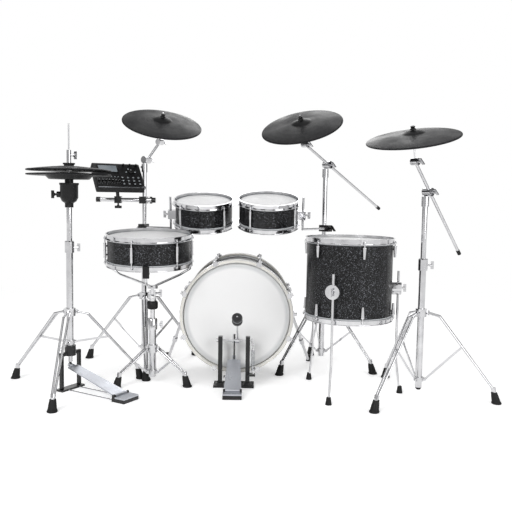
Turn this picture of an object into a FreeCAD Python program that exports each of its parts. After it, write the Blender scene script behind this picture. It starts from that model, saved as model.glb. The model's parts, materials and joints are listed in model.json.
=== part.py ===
"""Electronic drum kit: pads, shells, stands, pedals and sound module, as a parametric document.

Millimetres, +Z up. The drummer sits on the -Y side and the floor is Z = 0. The origin is
the middle of the kit's footprint. Every size is a named cell of the sheet called Sizes.
"""

import FreeCAD, Part
import math
import os

import Sketcher
from FreeCAD import Placement, Rotation, Vector

SIZES = (
    # Fits
    ("seat_gap", 0.05, "between a piece and what it is clamped on"),
    ("slide_gap", 0.1, "radial clearance of a tube or pin that moves"),
    ("free_gap", 0.4, "between faces of bodies that move past each other"),
    # The middle of the footprint, in the plan that the places below are given in
    ("plan_x", -1.89, "x of the footprint's middle"),
    ("plan_y", 1.06, "y of the footprint's middle"),
    # Head, hoop and rod sizes that the drums share
    ("film", 1.0, "thickness of a mesh head"),
    ("collar_drop", 8.0, "how far a head reaches down the shell"),
    ("flesh_width", 4.3, "width of the ring round a head"),
    ("flesh_height", 4.0, "height of the ring round a head"),
    ("rim_wall", 2.3, "thickness of a pressed hoop"),
    ("rim_rise", 13.0, "height of a hoop above its head"),
    ("rim_lip", 3.4, "width of a hoop's upper lip"),
    ("rim_clear", 0.8, "between a head's collar and its hoop"),
    ("rim_reach", 14.0, "from the shell to a hoop's outer edge"),
    ("rod_offset", 9.3, "from the shell to the tension rods"),
    ("rod_radius", 3.0, "tension rod"),
    ("rod_head_radius", 4.6, "head of a tension rod"),
    ("rod_head_height", 6.0, "head of a tension rod"),
    ("shell_wall", 6.5, "wall of a shell"),
    ("trigger_bar_width", 34.0, "bar that carries the trigger under a head"),
    ("trigger_bar_height", 6.0, "bar that carries the trigger"),
    ("trigger_cone_radius", 17.0, "foam cone at its base"),
    ("trigger_cone_tip", 6.0, "foam cone where it meets the head"),
    ("trigger_drop", 32.0, "depth of the bar below the head"),
    ("socket_radius", 9.0, "nut of a jack socket"),
    ("socket_bore", 3.2, "radius of a jack socket's bore"),
    ("socket_length", 14.0, "length of a jack socket's bore"),
    # Snare
    ("snare_x", -421.0, "centre of the snare"),
    ("snare_y", -62.0, "centre of the snare"),
    ("snare_z", 632.0, "top edge of the snare's shell"),
    ("snare_tilt", 4.0, "tilt towards the drummer, in degrees"),
    ("snare_radius", 175.0, "shell"),
    ("snare_depth", 112.0, "shell"),
    ("snare_lug_length", 62.0, "tube lug"),
    ("snare_lug_turn", 256.5, "angle of the first lug"),
    # Rack toms
    ("tom_radius", 129.0, "shell"),
    ("tom_depth", 103.0, "shell"),
    ("tom_lug_length", 68.0, "tube lug"),
    ("left_tom_x", -208.0, "centre"),
    ("left_tom_y", 172.0, "centre"),
    ("left_tom_z", 779.0, "top edge of the shell"),
    ("left_tom_tilt", 13.5, "tilt towards the drummer, in degrees"),
    ("left_tom_lug_turn", 225.0, "angle of the first lug"),
    ("right_tom_x", 86.0, "centre"),
    ("right_tom_y", 62.0, "centre"),
    ("right_tom_z", 788.0, "top edge of the shell"),
    ("right_tom_tilt", 14.0, "tilt towards the drummer, in degrees"),
    ("right_tom_lug_turn", 235.0, "angle of the first lug"),
    ("arm_radius", 5.2, "L-rod that a rack tom hangs on"),
    ("arm_standoff", 24.0, "from the tom's shell to the L-rod"),
    ("arm_above", 20.0, "L-rod above the tom's edge"),
    ("arm_below", 128.0, "L-rod below the tom's edge"),
    ("bracket_height", 40.0, "block that grips the L-rod"),
    ("bracket_drop", 62.0, "middle of that block below the tom's edge"),
    # Floor tom
    ("floor_x", 421.0, "centre"),
    ("floor_y", -142.0, "centre"),
    ("floor_z", 634.0, "top edge of the shell"),
    ("floor_radius", 176.0, "shell"),
    ("floor_depth", 313.0, "shell"),
    ("floor_lug_length", 46.0, "teardrop lug"),
    ("floor_lug_inset", 40.0, "from the shell's edge to a lug"),
    ("floor_lug_turn", 280.0, "angle of the first lug"),
    ("floor_leg_radius", 5.0, "leg rod"),
    ("floor_leg_standoff", 26.0, "from the shell to a leg"),
    ("floor_leg_top", 512.0, "height of a leg's top"),
    ("floor_leg_bend", 150.0, "height of a leg's bend"),
    ("floor_leg_kick_out", 20.0, "how far the bend carries the foot outwards"),
    ("floor_bracket_radius", 29.0, "round leg bracket"),
    ("floor_bracket_z", 442.0, "height of the leg brackets"),
    ("tip_radius", 13.0, "rubber tip of a leg"),
    ("tip_height", 30.0, "rubber tip of a leg"),
    ("tip_neck", 7.5, "rubber tip's top"),
    # Kick drum
    ("kick_x", -45.0, "centre"),
    ("kick_front", -62.0, "y of the batter hoop's face"),
    ("kick_clearance", 63.0, "from the floor to the underside of the shell"),
    ("kick_radius", 229.0, "shell"),
    ("kick_depth", 330.0, "shell"),
    ("kick_film_inset", 14.0, "from the hoop's face to the shell's edge"),
    ("kick_hoop_wall", 14.0, "radial width of a hoop"),
    ("kick_hoop_width", 38.0, "width of a hoop along the drum"),
    ("kick_hoop_rebate", 6.2, "seat in a hoop for the ring of the head"),
    ("kick_flesh_width", 7.0, "ring round a kick head"),
    ("kick_flesh_height", 12.0, "ring round a kick head"),
    ("claw_width", 22.0, "claw hook"),
    ("claw_plate", 3.0, "thickness of a claw hook"),
    ("claw_turn", 22.5, "angle of the first claw"),
    ("kick_lug_length", 58.0, "lug in the middle of the shell"),
    ("spur_radius", 7.5, "spur tube"),
    ("spur_pin_radius", 5.0, "pin that a spur turns on"),
    ("spur_pivot_y", 228.0, "where the spurs are fastened"),
    ("spur_pivot_z", 258.0, "where the spurs are fastened"),
    ("spur_pivot_out", 26.0, "from the shell to the spur's pivot"),
    ("spur_foot_out", 95.0, "from the pivot out to the foot"),
    ("spur_foot_back", 145.0, "from the pivot back to the foot"),
    # Kick pedal
    ("pedal_x", -52.0, "centre of the pedal"),
    ("pedal_axle_y", -112.0, "y of the axle"),
    ("pedal_axle_z", 200.0, "height of the axle"),
    ("axle_radius", 4.0, "axle"),
    ("post_spacing", 116.0, "between the pedal's posts"),
    ("post_width", 18.0, "post"),
    ("post_thickness", 16.0, "post"),
    ("bearing_height", 34.0, "bearing block at the top of a post"),
    ("bearing_width", 25.0, "bearing block"),
    ("base_thickness", 8.0, "base plate"),
    ("base_width", 172.0, "base plate"),
    ("base_length", 86.0, "base plate"),
    ("toe_height", 120.0, "height of the footboard's toe"),
    ("heel_hinge_height", 24.0, "height of the footboard's hinge"),
    ("heel_hinge_reach", 143.0, "from the axle to the footboard's hinge"),
    ("footboard_width", 70.0, "footboard at the heel"),
    ("footboard_toe_width", 54.0, "footboard at the toe"),
    ("footboard_thickness", 6.0, "footboard"),
    ("heel_plate_length", 48.0, "heel plate"),
    ("heel_width", 77.0, "heel plate"),
    ("hihat_heel_width", 85.0, "heel plate of the hi-hat pedal"),
    ("hinge_pin_radius", 3.0, "pin of the footboard"),
    ("hinge_barrel_radius", 7.0, "barrels round that pin"),
    ("cam_radius", 30.0, "from the axle to the drive link's pin"),
    ("cam_lift", 30.0, "cam above level, in degrees"),
    ("link_pin_radius", 2.5, "pin of the drive link"),
    ("link_slot", 3.8, "slot in the drive link, towards the heel"),
    ("link_slot_play", 0.9, "play in that slot"),
    ("beater_length", 150.0, "from the axle to the middle of the beater head"),
    ("beater_angle", 44.0, "beater back from upright, in degrees"),
    ("beater_rod_radius", 3.0, "beater shaft"),
    ("beater_head_radius", 22.0, "beater head"),
    ("beater_head_height", 46.0, "beater head"),
    ("spring_radius", 7.0, "spring, to the middle of its wire"),
    ("spring_wire", 1.1, "radius of the spring's wire"),
    ("spring_turns", 16.0, "curls of the spring"),
    ("spring_pitch", 5.5, "from curl to curl"),
    ("spring_foot", 76.0, "height of the spring's lower end"),
    ("rocker_reach", 22.0, "from the axle to the spring's hook"),
    ("rocker_fall", 35.5, "spring's hook below level, in degrees"),
    ("radius_rod", 2.5, "rods between base and heel"),
    # Hi-hat
    ("hihat_x", -727.0, "stand's axis"),
    ("hihat_y", -178.0, "stand's axis"),
    ("hihat_turn", 33.0, "angle of the first leg"),
    ("hihat_reach", 313.0, "from the axis to a foot"),
    ("hihat_hub", 322.0, "height of the leg hub"),
    ("hihat_low", 197.0, "height of the stays' collar"),
    ("hihat_lower_foot", 160.0, "foot of the lower tube"),
    ("hihat_lower_radius", 14.0, "lower tube"),
    ("hihat_lower_top", 600.0, "top of the lower tube"),
    ("hihat_upper_radius", 11.0, "upper tube"),
    ("hihat_upper_foot", 400.0, "lower end of the upper tube"),
    ("hihat_seat", 750.0, "top of the upper tube's free part"),
    ("hihat_rod_radius", 3.0, "pull rod"),
    ("hihat_rod_top", 1087.0, "top of the pull rod"),
    ("hihat_pedal_turn", -31.0, "direction of the pedal, in degrees"),
    ("hihat_toe_height", 100.0, "height of the footboard's toe"),
    ("hihat_hinge_reach", 275.0, "from the axis to the footboard's hinge"),
    ("hihat_frame_width", 96.0, "between the uprights"),
    ("hihat_frame_bar", 13.0, "upright"),
    ("hihat_yoke_top", 183.0, "top of the yoke"),
    ("hihat_yoke_foot", 141.0, "foot of the yoke"),
    ("controller_radius", 36.0, "controller housing"),
    ("controller_height", 99.0, "controller housing"),
    ("controller_neck", 17.0, "collar under the housing"),
    ("hihat_pad_radius", 168.0, "pads"),
    ("hihat_pad_edge", 6.0, "thickness of a pad's edge"),
    ("hihat_base_height", 20.0, "base under the bottom pad"),
    ("hihat_opening", 12.0, "between the two pads' edges"),
    ("clutch_radius", 9.0, "clutch"),
    ("clutch_height", 52.0, "clutch above its felts"),
    ("felt_height", 6.0, "felt washers"),
    ("felt_radius", 20.0, "felt washers"),
    # Double-braced tripods
    ("leg_bar", 4.6, "radius of a leg's bars"),
    ("leg_spread", 10.0, "half the distance between a leg's two bars"),
    ("leg_pinch", 6.8, "the same, at both ends"),
    ("hub_radius", 23.0, "leg hub"),
    ("hub_height", 32.0, "leg hub"),
    ("knee_reach", 74.0, "from the axis to a leg's bend"),
    ("knee_drop", 12.0, "from the hub down to that bend"),
    ("ankle_half", 4.8, "half the distance between the bars at the foot"),
    ("stay_thickness", 3.2, "stay"),
    ("plug_radius", 8.0, "end of a leg in its foot"),
    ("stay_share", 0.42, "how far along the leg the stay is pinned"),
    ("foot_radius", 20.0, "rubber foot on the floor"),
    ("foot_neck", 12.5, "rubber foot at its top"),
    ("foot_height", 46.0, "rubber foot"),
    ("foot_lean", 12.0, "how far the foot's top leans in"),
    ("clamp_height", 48.0, "height clamp"),
    ("clamp_wall", 5.0, "height clamp"),
    ("wing_shaft", 4.0, "wing screw's shaft"),
    ("wing_reach", 16.0, "half the span of the wings"),
    ("wing_thickness", 4.0, "wings"),
    ("wing_height", 12.0, "wings"),
    # Snare stand
    ("snare_stand_x", -405.0, "stand's axis"),
    ("snare_stand_y", -62.0, "stand's axis"),
    ("snare_turn", 98.0, "angle of the first leg"),
    ("snare_reach", 171.0, "from the axis to a foot"),
    ("snare_hub", 150.0, "height of the leg hub"),
    ("snare_low", 48.0, "height of the stays' collar"),
    ("snare_lower_foot", 26.0, "foot of the lower tube"),
    ("snare_stand_knee", 46.0, "from the axis to a leg's bend"),
    ("snare_lower_radius", 15.5, "lower tube"),
    ("snare_lower_top", 266.0, "top of the lower tube"),
    ("snare_upper_radius", 9.5, "upper tube"),
    ("snare_upper_foot", 100.0, "lower end of the upper tube"),
    ("snare_grip_foot", 320.0, "foot of the black ring nut"),
    ("snare_grip_height", 35.0, "black ring nut"),
    ("snare_grip_radius", 23.0, "black ring nut"),
    ("basket_pivot", 388.0, "height of the basket's pivot"),
    ("basket_arm", 5.0, "radius of the basket's arms"),
    ("basket_turn", 275.0, "angle of the basket's front arm"),
    ("grip_width", 26.0, "rubber grips of the basket"),
    ("grip_depth", 15.0, "rubber grips of the basket"),
    ("basket_pin", 5.0, "radius of the basket's pivot pin"),
    ("grip_height", 48.0, "rubber grips of the basket"),
    # Left cymbal stand
    ("left_x", -493.0, "stand's axis"),
    ("left_y", 258.0, "stand's axis"),
    ("left_turn", 41.0, "angle of the first leg"),
    ("left_reach", 302.0, "from the axis to a foot"),
    ("left_hub", 330.0, "height of the leg hub"),
    ("left_low", 84.0, "height of the stays' collar"),
    ("left_lower_foot", 58.0, "foot of the lower tube"),
    ("left_upper_foot", 380.0, "lower end of the upper tube"),
    ("left_lower_radius", 12.5, "lower tube"),
    ("left_lower_top", 600.0, "top of the lower tube"),
    ("left_upper_radius", 9.5, "upper tube"),
    ("left_clamp_z", 968.0, "height of the boom clamp"),
    ("left_boom_x", 57.0, "boom's rise, sideways"),
    ("left_boom_y", -38.0, "boom's rise, front to back"),
    ("left_boom_z", 72.0, "boom's rise, upwards"),
    ("left_boom_up", 100.0, "boom above its clamp"),
    ("left_boom_down", 46.0, "boom below its clamp"),
    ("left_seat", 114.0, "from the tilter to the pad"),
    ("left_tilt", 24.5, "pad's tilt towards the drummer, in degrees"),
    ("left_roll", 10.5, "pad's lean to the right, in degrees"),
    # Middle cymbal stand
    ("middle_x", 350.0, "stand's axis"),
    ("middle_y", 241.0, "stand's axis"),
    ("middle_turn", 96.8, "angle of the first leg"),
    ("middle_reach", 253.0, "from the axis to a foot"),
    ("middle_hub", 295.0, "height of the leg hub"),
    ("middle_low", 84.0, "height of the stays' collar"),
    ("middle_lower_foot", 58.0, "foot of the lower tube"),
    ("middle_upper_foot", 380.0, "lower end of the upper tube"),
    ("middle_lower_radius", 14.0, "lower tube"),
    ("middle_lower_top", 600.0, "top of the lower tube"),
    ("middle_upper_radius", 10.5, "upper tube"),
    ("middle_clamp_z", 957.0, "height of the boom clamp"),
    ("middle_boom_x", -290.0, "boom's rise, sideways"),
    ("middle_boom_y", -257.0, "boom's rise, front to back"),
    ("middle_boom_z", 207.0, "boom's rise, upwards"),
    ("middle_boom_up", 166.0, "boom above its clamp"),
    ("middle_boom_down", 425.0, "boom below its clamp"),
    ("middle_seat", 112.0, "from the tilter to the pad"),
    ("middle_tilt", 26.0, "pad's tilt towards the drummer, in degrees"),
    ("middle_roll", -14.0, "pad's lean to the right, in degrees"),
    # Right cymbal stand, the one that folds
    ("right_x", 707.0, "stand's axis"),
    ("right_y", -215.0, "stand's axis"),
    ("right_turn", 105.0, "angle of the first leg"),
    ("right_reach", 306.0, "from the axis to a foot"),
    ("right_hub", 350.0, "height of the leg hub"),
    ("right_low", 76.0, "height of the stays' collar"),
    ("right_lower_radius", 14.0, "lower tube"),
    ("right_lower_foot", 42.0, "foot of the lower tube"),
    ("right_lower_top", 555.0, "top of the lower tube"),
    ("right_upper_radius", 11.0, "upper tube"),
    ("right_upper_foot", 380.0, "lower end of the upper tube"),
    ("right_clamp_z", 836.0, "height of the boom clamp"),
    ("right_boom_x", -172.0, "boom's rise, sideways"),
    ("right_boom_y", -143.0, "boom's rise, front to back"),
    ("right_boom_z", 259.0, "boom's rise, upwards"),
    ("right_boom_up", 140.0, "boom above its clamp"),
    ("right_boom_down", 335.0, "boom below its clamp"),
    ("right_seat", 118.0, "from the tilter to the pad"),
    ("right_tilt", 14.5, "pad's tilt towards the drummer, in degrees"),
    ("right_roll", -9.6, "pad's lean to the right, in degrees"),
    # Cymbal pads and their booms
    ("pad_radius", 181.0, "cymbal pad"),
    ("pad_edge", 5.0, "thickness of a pad's edge"),
    ("pad_rise", 17.0, "height of the bow"),
    ("bell_radius", 46.0, "bell"),
    ("bell_rise", 12.0, "bell above the bow"),
    ("pad_thickness", 9.0, "pad's thickness inside"),
    ("pad_bore", 7.0, "hole in the pad"),
    ("cymbal_bore", 5.0, "hole in a cymbal pad"),
    ("pad_play", 0.7, "between a pad and the felts round it"),
    ("pad_fall", 1.5, "slope of those felts"),
    ("pad_rod", 3.4, "rod that the pad sits on"),
    ("boom_radius", 6.2, "boom"),
    ("barrel_radius", 17.0, "ratchet discs of a boom clamp"),
    ("barrel_width", 24.0, "boom's half of the clamp"),
    ("ratchet_width", 14.0, "post's half of the clamp"),
    ("tilter_radius", 14.0, "tilter at the boom's end"),
    ("tilter_width", 30.0, "tilter at the boom's end"),
    ("sleeve_radius", 8.0, "sleeve and felt under the pad"),
    ("hub_nut_radius", 12.0, "nut over the pad"),
    ("hub_nut_height", 15.0, "nut over the pad"),
    # Sound module
    ("module_x", -592.0, "tilting pivot"),
    ("module_y", 150.0, "tilting pivot"),
    ("module_z", 890.0, "tilting pivot"),
    ("module_tilt", 48.0, "panel's tilt, in degrees"),
    ("module_yaw", 29.0, "panel's turn towards the drummer, in degrees"),
    ("case_width", 222.0, "module case"),
    ("case_depth", 150.0, "module case"),
    ("case_height", 30.0, "module case"),
    ("case_stand", 14.0, "from the pivot to the case"),
    ("dial_radius", 14.0, "dial"),
    ("dial_height", 9.0, "dial"),
    ("knob_radius", 6.0, "small knobs"),
    ("knob_height", 10.0, "small knobs"),
    ("fader_pitch", 15.5, "from fader to fader"),
    ("fader_travel", 36.0, "travel of a fader"),
    ("fader_cap", 6.0, "fader cap"),
    ("button_size", 11.0, "button"),
    ("button_pitch_x", 25.0, "from button to button"),
    ("button_pitch_y", 19.0, "from button to button"),
    ("button_rise", 2.5, "button above the panel"),
    ("button_depth", 4.0, "pocket of a button"),
    ("screen_width", 84.0, "display"),
    ("screen_depth", 40.0, "display"),
    ("pivot_radius", 11.0, "barrel that the module tilts on"),
    ("pivot_pin", 4.0, "pin of that barrel"),
    ("mount_tube_y", 218.0, "arm tube of the module"),
    ("mount_tube_radius", 10.0, "arm tube of the module"),
    ("mount_tube_left", -706.0, "left end of the arm tube"),
    ("mount_tube_right", -438.0, "right end of the arm tube"),
    ("mount_tube_z", 781.0, "height of the arm tube"),
    ("mount_clamp_size", 32.0, "clamp between the arm and the post"),
)

doc = FreeCAD.newDocument("drum_kit")
sheet = doc.addObject("Spreadsheet::Sheet", "Sizes")
for row, (alias, value, note) in enumerate(SIZES, 1):
    sheet.set("A%d" % row, alias)
    sheet.set("B%d" % row, str(value))
    sheet.setAlias("B%d" % row, alias)
    sheet.set("C%d" % row, note)
doc.recompute()

UP = Vector(0, 0, 1)
NODES = {}


def size(alias):
    """The number in the named cell."""
    return float(sheet.get(alias))


def reckon(expression):
    """The value of an expression over the sheet's cells."""
    return float(sheet.evalExpression(expression))


def turned(name, outline):
    """A body turned about Z from an outline of (radius, height) expressions over the sheet."""
    body = doc.addObject("PartDesign::Body", name)
    plane = [f for f in body.Origin.OriginFeatures if f.Role == "XZ_Plane"][0]
    sketch = body.newObject("Sketcher::SketchObject", name + "_outline")
    sketch.AttachmentSupport = [(plane, "")]
    sketch.MapMode = "FlatFace"
    spots = [Vector(reckon(r), reckon(z), 0) for r, z in outline]
    count = len(spots)
    for i in range(count):
        sketch.addGeometry(Part.LineSegment(spots[i], spots[(i + 1) % count]), False)
    for i in range(count):
        sketch.addConstraint(Sketcher.Constraint("Coincident", i, 2, (i + 1) % count, 1))
    for i, terms in enumerate(outline):
        for kind, axis, term, spot in (
            ("DistanceX", -2, terms[0], spots[i].x),
            ("DistanceY", -1, terms[1], spots[i].y),
        ):
            if term == "0":
                sketch.addConstraint(Sketcher.Constraint("PointOnObject", i, 1, axis))
                continue
            rule = sketch.addConstraint(Sketcher.Constraint(kind, -1, 1, i, 1, spot))
            sketch.setExpression("Constraints[%d]" % rule, bound(term))
    turn = body.newObject("PartDesign::Revolution", name + "_turn")
    turn.Profile = sketch
    turn.ReferenceAxis = (sketch, ["V_Axis"])
    turn.Angle = 360
    body.Tip = turn
    return body


def bound(expression):
    """The expression with the sheet's name before each cell's alias, for use outside the sheet."""
    words = expression.split(" ")
    return " ".join(["Sizes." + w if w[0].isalpha() else w for w in words])


def feature(name, shape):
    """A plain feature for a shape that neither a sketch nor a primitive fits."""
    made = doc.addObject("Part::Feature", name)
    made.Shape = shape
    return made


def node(name, pieces, place=None):
    """One named sub-part: its pieces as separate solids, moved to their place in the kit."""
    group = doc.addObject("Part::Compound", name)
    group.Label = name
    group.Links = pieces
    plan = Placement(Vector(-size("plan_x"), -size("plan_y"), 0), Rotation())
    group.Placement = plan.multiply(place) if place else plan
    NODES[name] = group


def spot(radius, degrees, z):
    """A point at a radius and an angle about the Z axis."""
    angle = math.radians(degrees)
    return Vector(radius * math.cos(angle), radius * math.sin(angle), z)


def rod(start, end, radius, bore=0.0):
    """A round bar or tube between two points."""
    run = end - start
    bar = Part.makeCylinder(radius, run.Length, start, run)
    if bore:
        bar = bar.cut(Part.makeCylinder(bore, run.Length, start, run))
    return bar


def bent(points, radius):
    """A round bar along straight runs, with a ball at each bend."""
    bar = rod(points[0], points[1], radius)
    for before, after in zip(points[1:], points[2:]):
        bar = bar.fuse([Part.makeSphere(radius, before), rod(before, after, radius)])
    return bar.removeSplitter()


def brick(x, y, z, length, width, height):
    """A box centred on x and y that stands on z."""
    return Part.makeBox(length, width, height, Vector(x - length / 2, y - width / 2, z))


def turned_about(shape, degrees):
    """A copy of the shape, turned about Z."""
    copy = shape.copy()
    copy.rotate(Vector(), UP, degrees)
    return copy


def wing_screw(start, direction, shaft):
    """A wing screw: a shaft that leaves start, with two wings on its head."""
    axis = Vector(direction).normalize()
    reach, thick, tall = size("wing_reach"), size("wing_thickness"), size("wing_height")
    head = Part.makeCylinder(size("wing_shaft") * 1.6, tall * 0.8, Vector(0, 0, shaft))
    wings = Part.makeBox(2 * reach, thick, tall, Vector(-reach, -thick / 2, shaft + tall * 0.3))
    screw = Part.makeCylinder(size("wing_shaft"), shaft + 1).fuse([head, wings]).removeSplitter()
    screw.Placement = Placement(start, Rotation(UP, axis))
    return screw


def upright(x, y, z=0.0, degrees=0.0):
    """A place on the plan, turned about Z."""
    return Placement(Vector(x, y, z), Rotation(UP, degrees))


def leaning(x, y, z, tilt, roll=0.0):
    """A place whose top leans towards the drummer by tilt and to the right by roll."""
    return Placement(
        Vector(x, y, z),
        Rotation(Vector(0, 1, 0), roll).multiply(Rotation(Vector(1, 0, 0), tilt)),
    )


# Drums


def beyond(edge, sign, amount):
    """The expression for a height that lies amount above (+) or below (-) an edge."""
    return "%s %s ( %s )" % (edge, sign, amount)


def shell(drum, radius, depth, socket_turn):
    """A shell whose top edge is at Z = 0, with its trigger bar, foam cone and jack socket."""
    wall = turned(
        drum + "_wall",
        (
            (radius + " - shell_wall", "0"),
            (radius, "0"),
            (radius, "0 - " + depth),
            (radius + " - shell_wall", "0 - " + depth),
        ),
    )
    outer, drop = size(radius), size("trigger_drop")
    inner = outer - size("shell_wall") - size("seat_gap")
    length = size("socket_length")
    way = spot(1, socket_turn, 0)
    middle = Vector(0, 0, -size(depth) / 2)
    start = middle + way * (outer + 3 - length)
    gap = size("seat_gap")
    hole = rod(start - way * 2, start + way * (length + 2), size("socket_radius") + gap)
    cut = doc.addObject("Part::Cut", drum + "_drilled")
    cut.Base = wall
    cut.Tool = feature(drum + "_hole", hole)
    socket = rod(start, start + way * length, size("socket_radius"))
    socket = socket.cut(rod(start + way * 4, start + way * (length + 1), size("socket_bore")))
    width, height = size("trigger_bar_width"), size("trigger_bar_height")
    bar = brick(0, 0, -drop - height, 2 * outer, width, height)
    bar = bar.common(Part.makeCylinder(inner, 2 * drop, Vector(0, 0, -2 * drop)))
    cone = turned(
        drum + "_cone",
        (
            ("0", "seat_gap - trigger_drop"),
            ("trigger_cone_radius", "seat_gap - trigger_drop"),
            ("trigger_cone_tip", "0 - seat_gap"),
            ("0", "0 - seat_gap"),
        ),
    )
    return [cut, feature(drum + "_bar", bar), cone, feature(drum + "_socket", socket)]


def heads(drum, radius, depth, ring_width, ring_height):
    """The batter and the bottom head: film, collar and ring."""
    made = []
    for side, edge, out, back in (
        ("batter", "0", "+", "-"),
        ("bottom", "0 - " + depth, "-", "+"),
    ):
        inner = radius + " + seat_gap"
        collar = radius + " + film + seat_gap"
        ring = radius + " + seat_gap + " + ring_width
        low = beyond(edge, back, "collar_drop + " + ring_height)
        made.append(
            turned(
                "%s_%s_head" % (drum, side),
                (
                    ("0", beyond(edge, out, "seat_gap")),
                    (inner, beyond(edge, out, "seat_gap")),
                    (inner, low),
                    (ring, low),
                    (ring, beyond(edge, back, "collar_drop")),
                    (collar, beyond(edge, back, "collar_drop")),
                    (collar, beyond(edge, out, "film + seat_gap")),
                    ("0", beyond(edge, out, "film + seat_gap")),
                ),
            )
        )
    return made


def hoops(drum, radius, depth, angles):
    """The two pressed hoops, drilled for the tension rods."""
    made = []
    for side, edge, out, back in (
        ("upper", "0", "+", "-"),
        ("lower", "0 - " + depth, "-", "+"),
    ):
        inner = radius + " + film + rim_clear"
        outer = inner + " + rim_wall"
        seat = beyond(edge, back, "collar_drop - seat_gap")
        shoulder = beyond(edge, back, "collar_drop - seat_gap - rim_wall")
        ring = turned(
            "%s_%s_ring" % (drum, side),
            (
                (inner, seat),
                (radius + " + rim_reach", seat),
                (radius + " + rim_reach", shoulder),
                (outer, shoulder),
                (outer, beyond(edge, out, "rim_rise - rim_wall")),
                (outer + " + rim_lip", beyond(edge, out, "rim_rise - rim_wall")),
                (outer + " + rim_lip", beyond(edge, out, "rim_rise")),
                (inner, beyond(edge, out, "rim_rise")),
            ),
        )
        level = reckon(seat)
        holes = [
            Part.makeCylinder(
                size("rod_radius") + size("slide_gap"),
                20,
                spot(size(radius) + size("rod_offset"), angle, level - 10),
            )
            for angle in angles
        ]
        hoop = doc.addObject("Part::Cut", "%s_%s_hoop" % (drum, side))
        hoop.Base = ring
        hoop.Tool = feature("%s_%s_holes" % (drum, side), Part.makeCompound(holes))
        made.append(hoop)
    return made


def lug(radius, middle, length, top, bottom, studs):
    """A lug at angle 0: a barrel on studs that stand on the shell, bored for its rods."""
    middle_radius = radius + size("rod_offset")
    foot = Vector(middle_radius, 0, middle - length / 2)
    barrel = rod(foot, foot + UP * length, top)
    if top != bottom:
        barrel = Part.makeCone(bottom, top, length, foot)
    feet = [rod(Vector(radius - 3, 0, z), Vector(middle_radius, 0, z), 4) for z in studs]
    bore = size("rod_radius") + size("seat_gap")
    body = barrel.fuse(feet).cut(
        Part.makeCylinder(bore, length + 2, Vector(middle_radius, 0, middle - length / 2 - 1))
    )
    keep_off = radius + size("seat_gap")
    return body.cut(Part.makeCylinder(keep_off, length + 40, Vector(0, 0, middle - length / 2 - 20)))


def tension_rod(radius, head, end):
    """A rod at angle 0 whose head lies at one height and whose shaft ends at another."""
    sign = 1 if head > end else -1
    foot = Vector(radius + size("rod_offset"), 0, head)
    shaft = rod(foot, Vector(foot.x, 0, end), size("rod_radius"))
    top = foot + UP * (sign * size("rod_head_height"))
    return shaft.fuse(rod(foot, top, size("rod_head_radius"))).removeSplitter()


def rods_and_lugs(drum, radius, depth, angles, lugs):
    """The lugs and the two rods at each of them, as separate solids."""
    outer, low = size(radius), -size(depth)
    seat = size("collar_drop") - size("rim_wall") - 2 * size("seat_gap")
    spans = (
        (tension_rod(outer, -seat, lugs[0][0])),
        (tension_rod(outer, low + seat, lugs[-1][1])),
    )
    made = []
    for i, angle in enumerate(angles):
        for j, (top, bottom, body) in enumerate(lugs):
            made.append(feature("%s_lug_%d_%d" % (drum, i, j), turned_about(body, angle)))
        for j, span in enumerate(spans):
            made.append(feature("%s_rod_%d_%d" % (drum, i, j), turned_about(span, angle)))
    return made


def evenly(first, count):
    """Angles spread evenly round a turn."""
    return [first + 360.0 * i / count for i in range(count)]


def tube_lug(radius, depth, length):
    """One lug in the middle of the shell that takes both rods."""
    middle = -size(depth) / 2
    half = size(length) / 2
    studs = (middle - half * 0.6, middle + half * 0.6)
    body = lug(size(radius), middle, 2 * half, 5.6, 5.6, studs)
    return [(middle + 3, middle - 3, body)]


def end_lugs(radius, depth, length, inset):
    """A teardrop lug near each end of the shell."""
    made = []
    tall = size(length)
    for middle, top, bottom, sign in (
        (-size(inset), 7.5, 4.5, 1),
        (size(inset) - size(depth), 4.5, 7.5, -1),
    ):
        stud = middle + sign * tall * 0.2
        body = lug(size(radius), middle, tall, top, bottom, (stud,))
        made.append((middle - tall * 0.2, middle + tall * 0.2, body))
    return made


def drum(name, radius, depth, place, angles, lugs, extra=(), socket_turn=90.0):
    """The nodes of a drum with pressed hoops: shell, heads and hardware."""
    node(name + "_shell", shell(name, radius, depth, socket_turn), place)
    pair = heads(name, radius, depth, "flesh_width", "flesh_height")
    node(name + "_heads", pair, place)
    metal = hoops(name, radius, depth, angles)
    metal += rods_and_lugs(name, radius, depth, angles, lugs)
    node(name + "_hardware", metal + list(extra), place)


snare_place = leaning(size("snare_x"), size("snare_y"), size("snare_z"), size("snare_tilt"))
drum(
    "snare",
    "snare_radius",
    "snare_depth",
    snare_place,
    evenly(size("snare_lug_turn"), 6),
    tube_lug("snare_radius", "snare_depth", "snare_lug_length"),
)


def tom_bracket(name, turn):
    """The block on a rack tom's shell that grips its L-rod."""
    outer = size("tom_radius") + size("seat_gap")
    reach = size("tom_radius") + size("arm_standoff")
    height, drop = size("bracket_height"), size("bracket_drop")
    grip = size("arm_radius")
    length = reach + grip + 6 - (outer - 4)
    body = brick(outer - 4 + length / 2, 0, -drop - height / 2, length, 26, height)
    body = body.cut(Part.makeCylinder(outer, 3 * height, Vector(0, 0, -drop - 1.5 * height)))
    bore = Part.makeCylinder(grip + size("seat_gap"), 2 * height, Vector(reach, 0, -drop - height))
    body = body.cut(bore)
    screw = wing_screw(Vector(reach + grip + 6 + size("seat_gap"), 0, -drop), Vector(1, 0, 0), 6)
    return [
        feature(name + "_bracket", turned_about(body, turn)),
        feature(name + "_bracket_screw", turned_about(screw, turn)),
    ]


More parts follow.
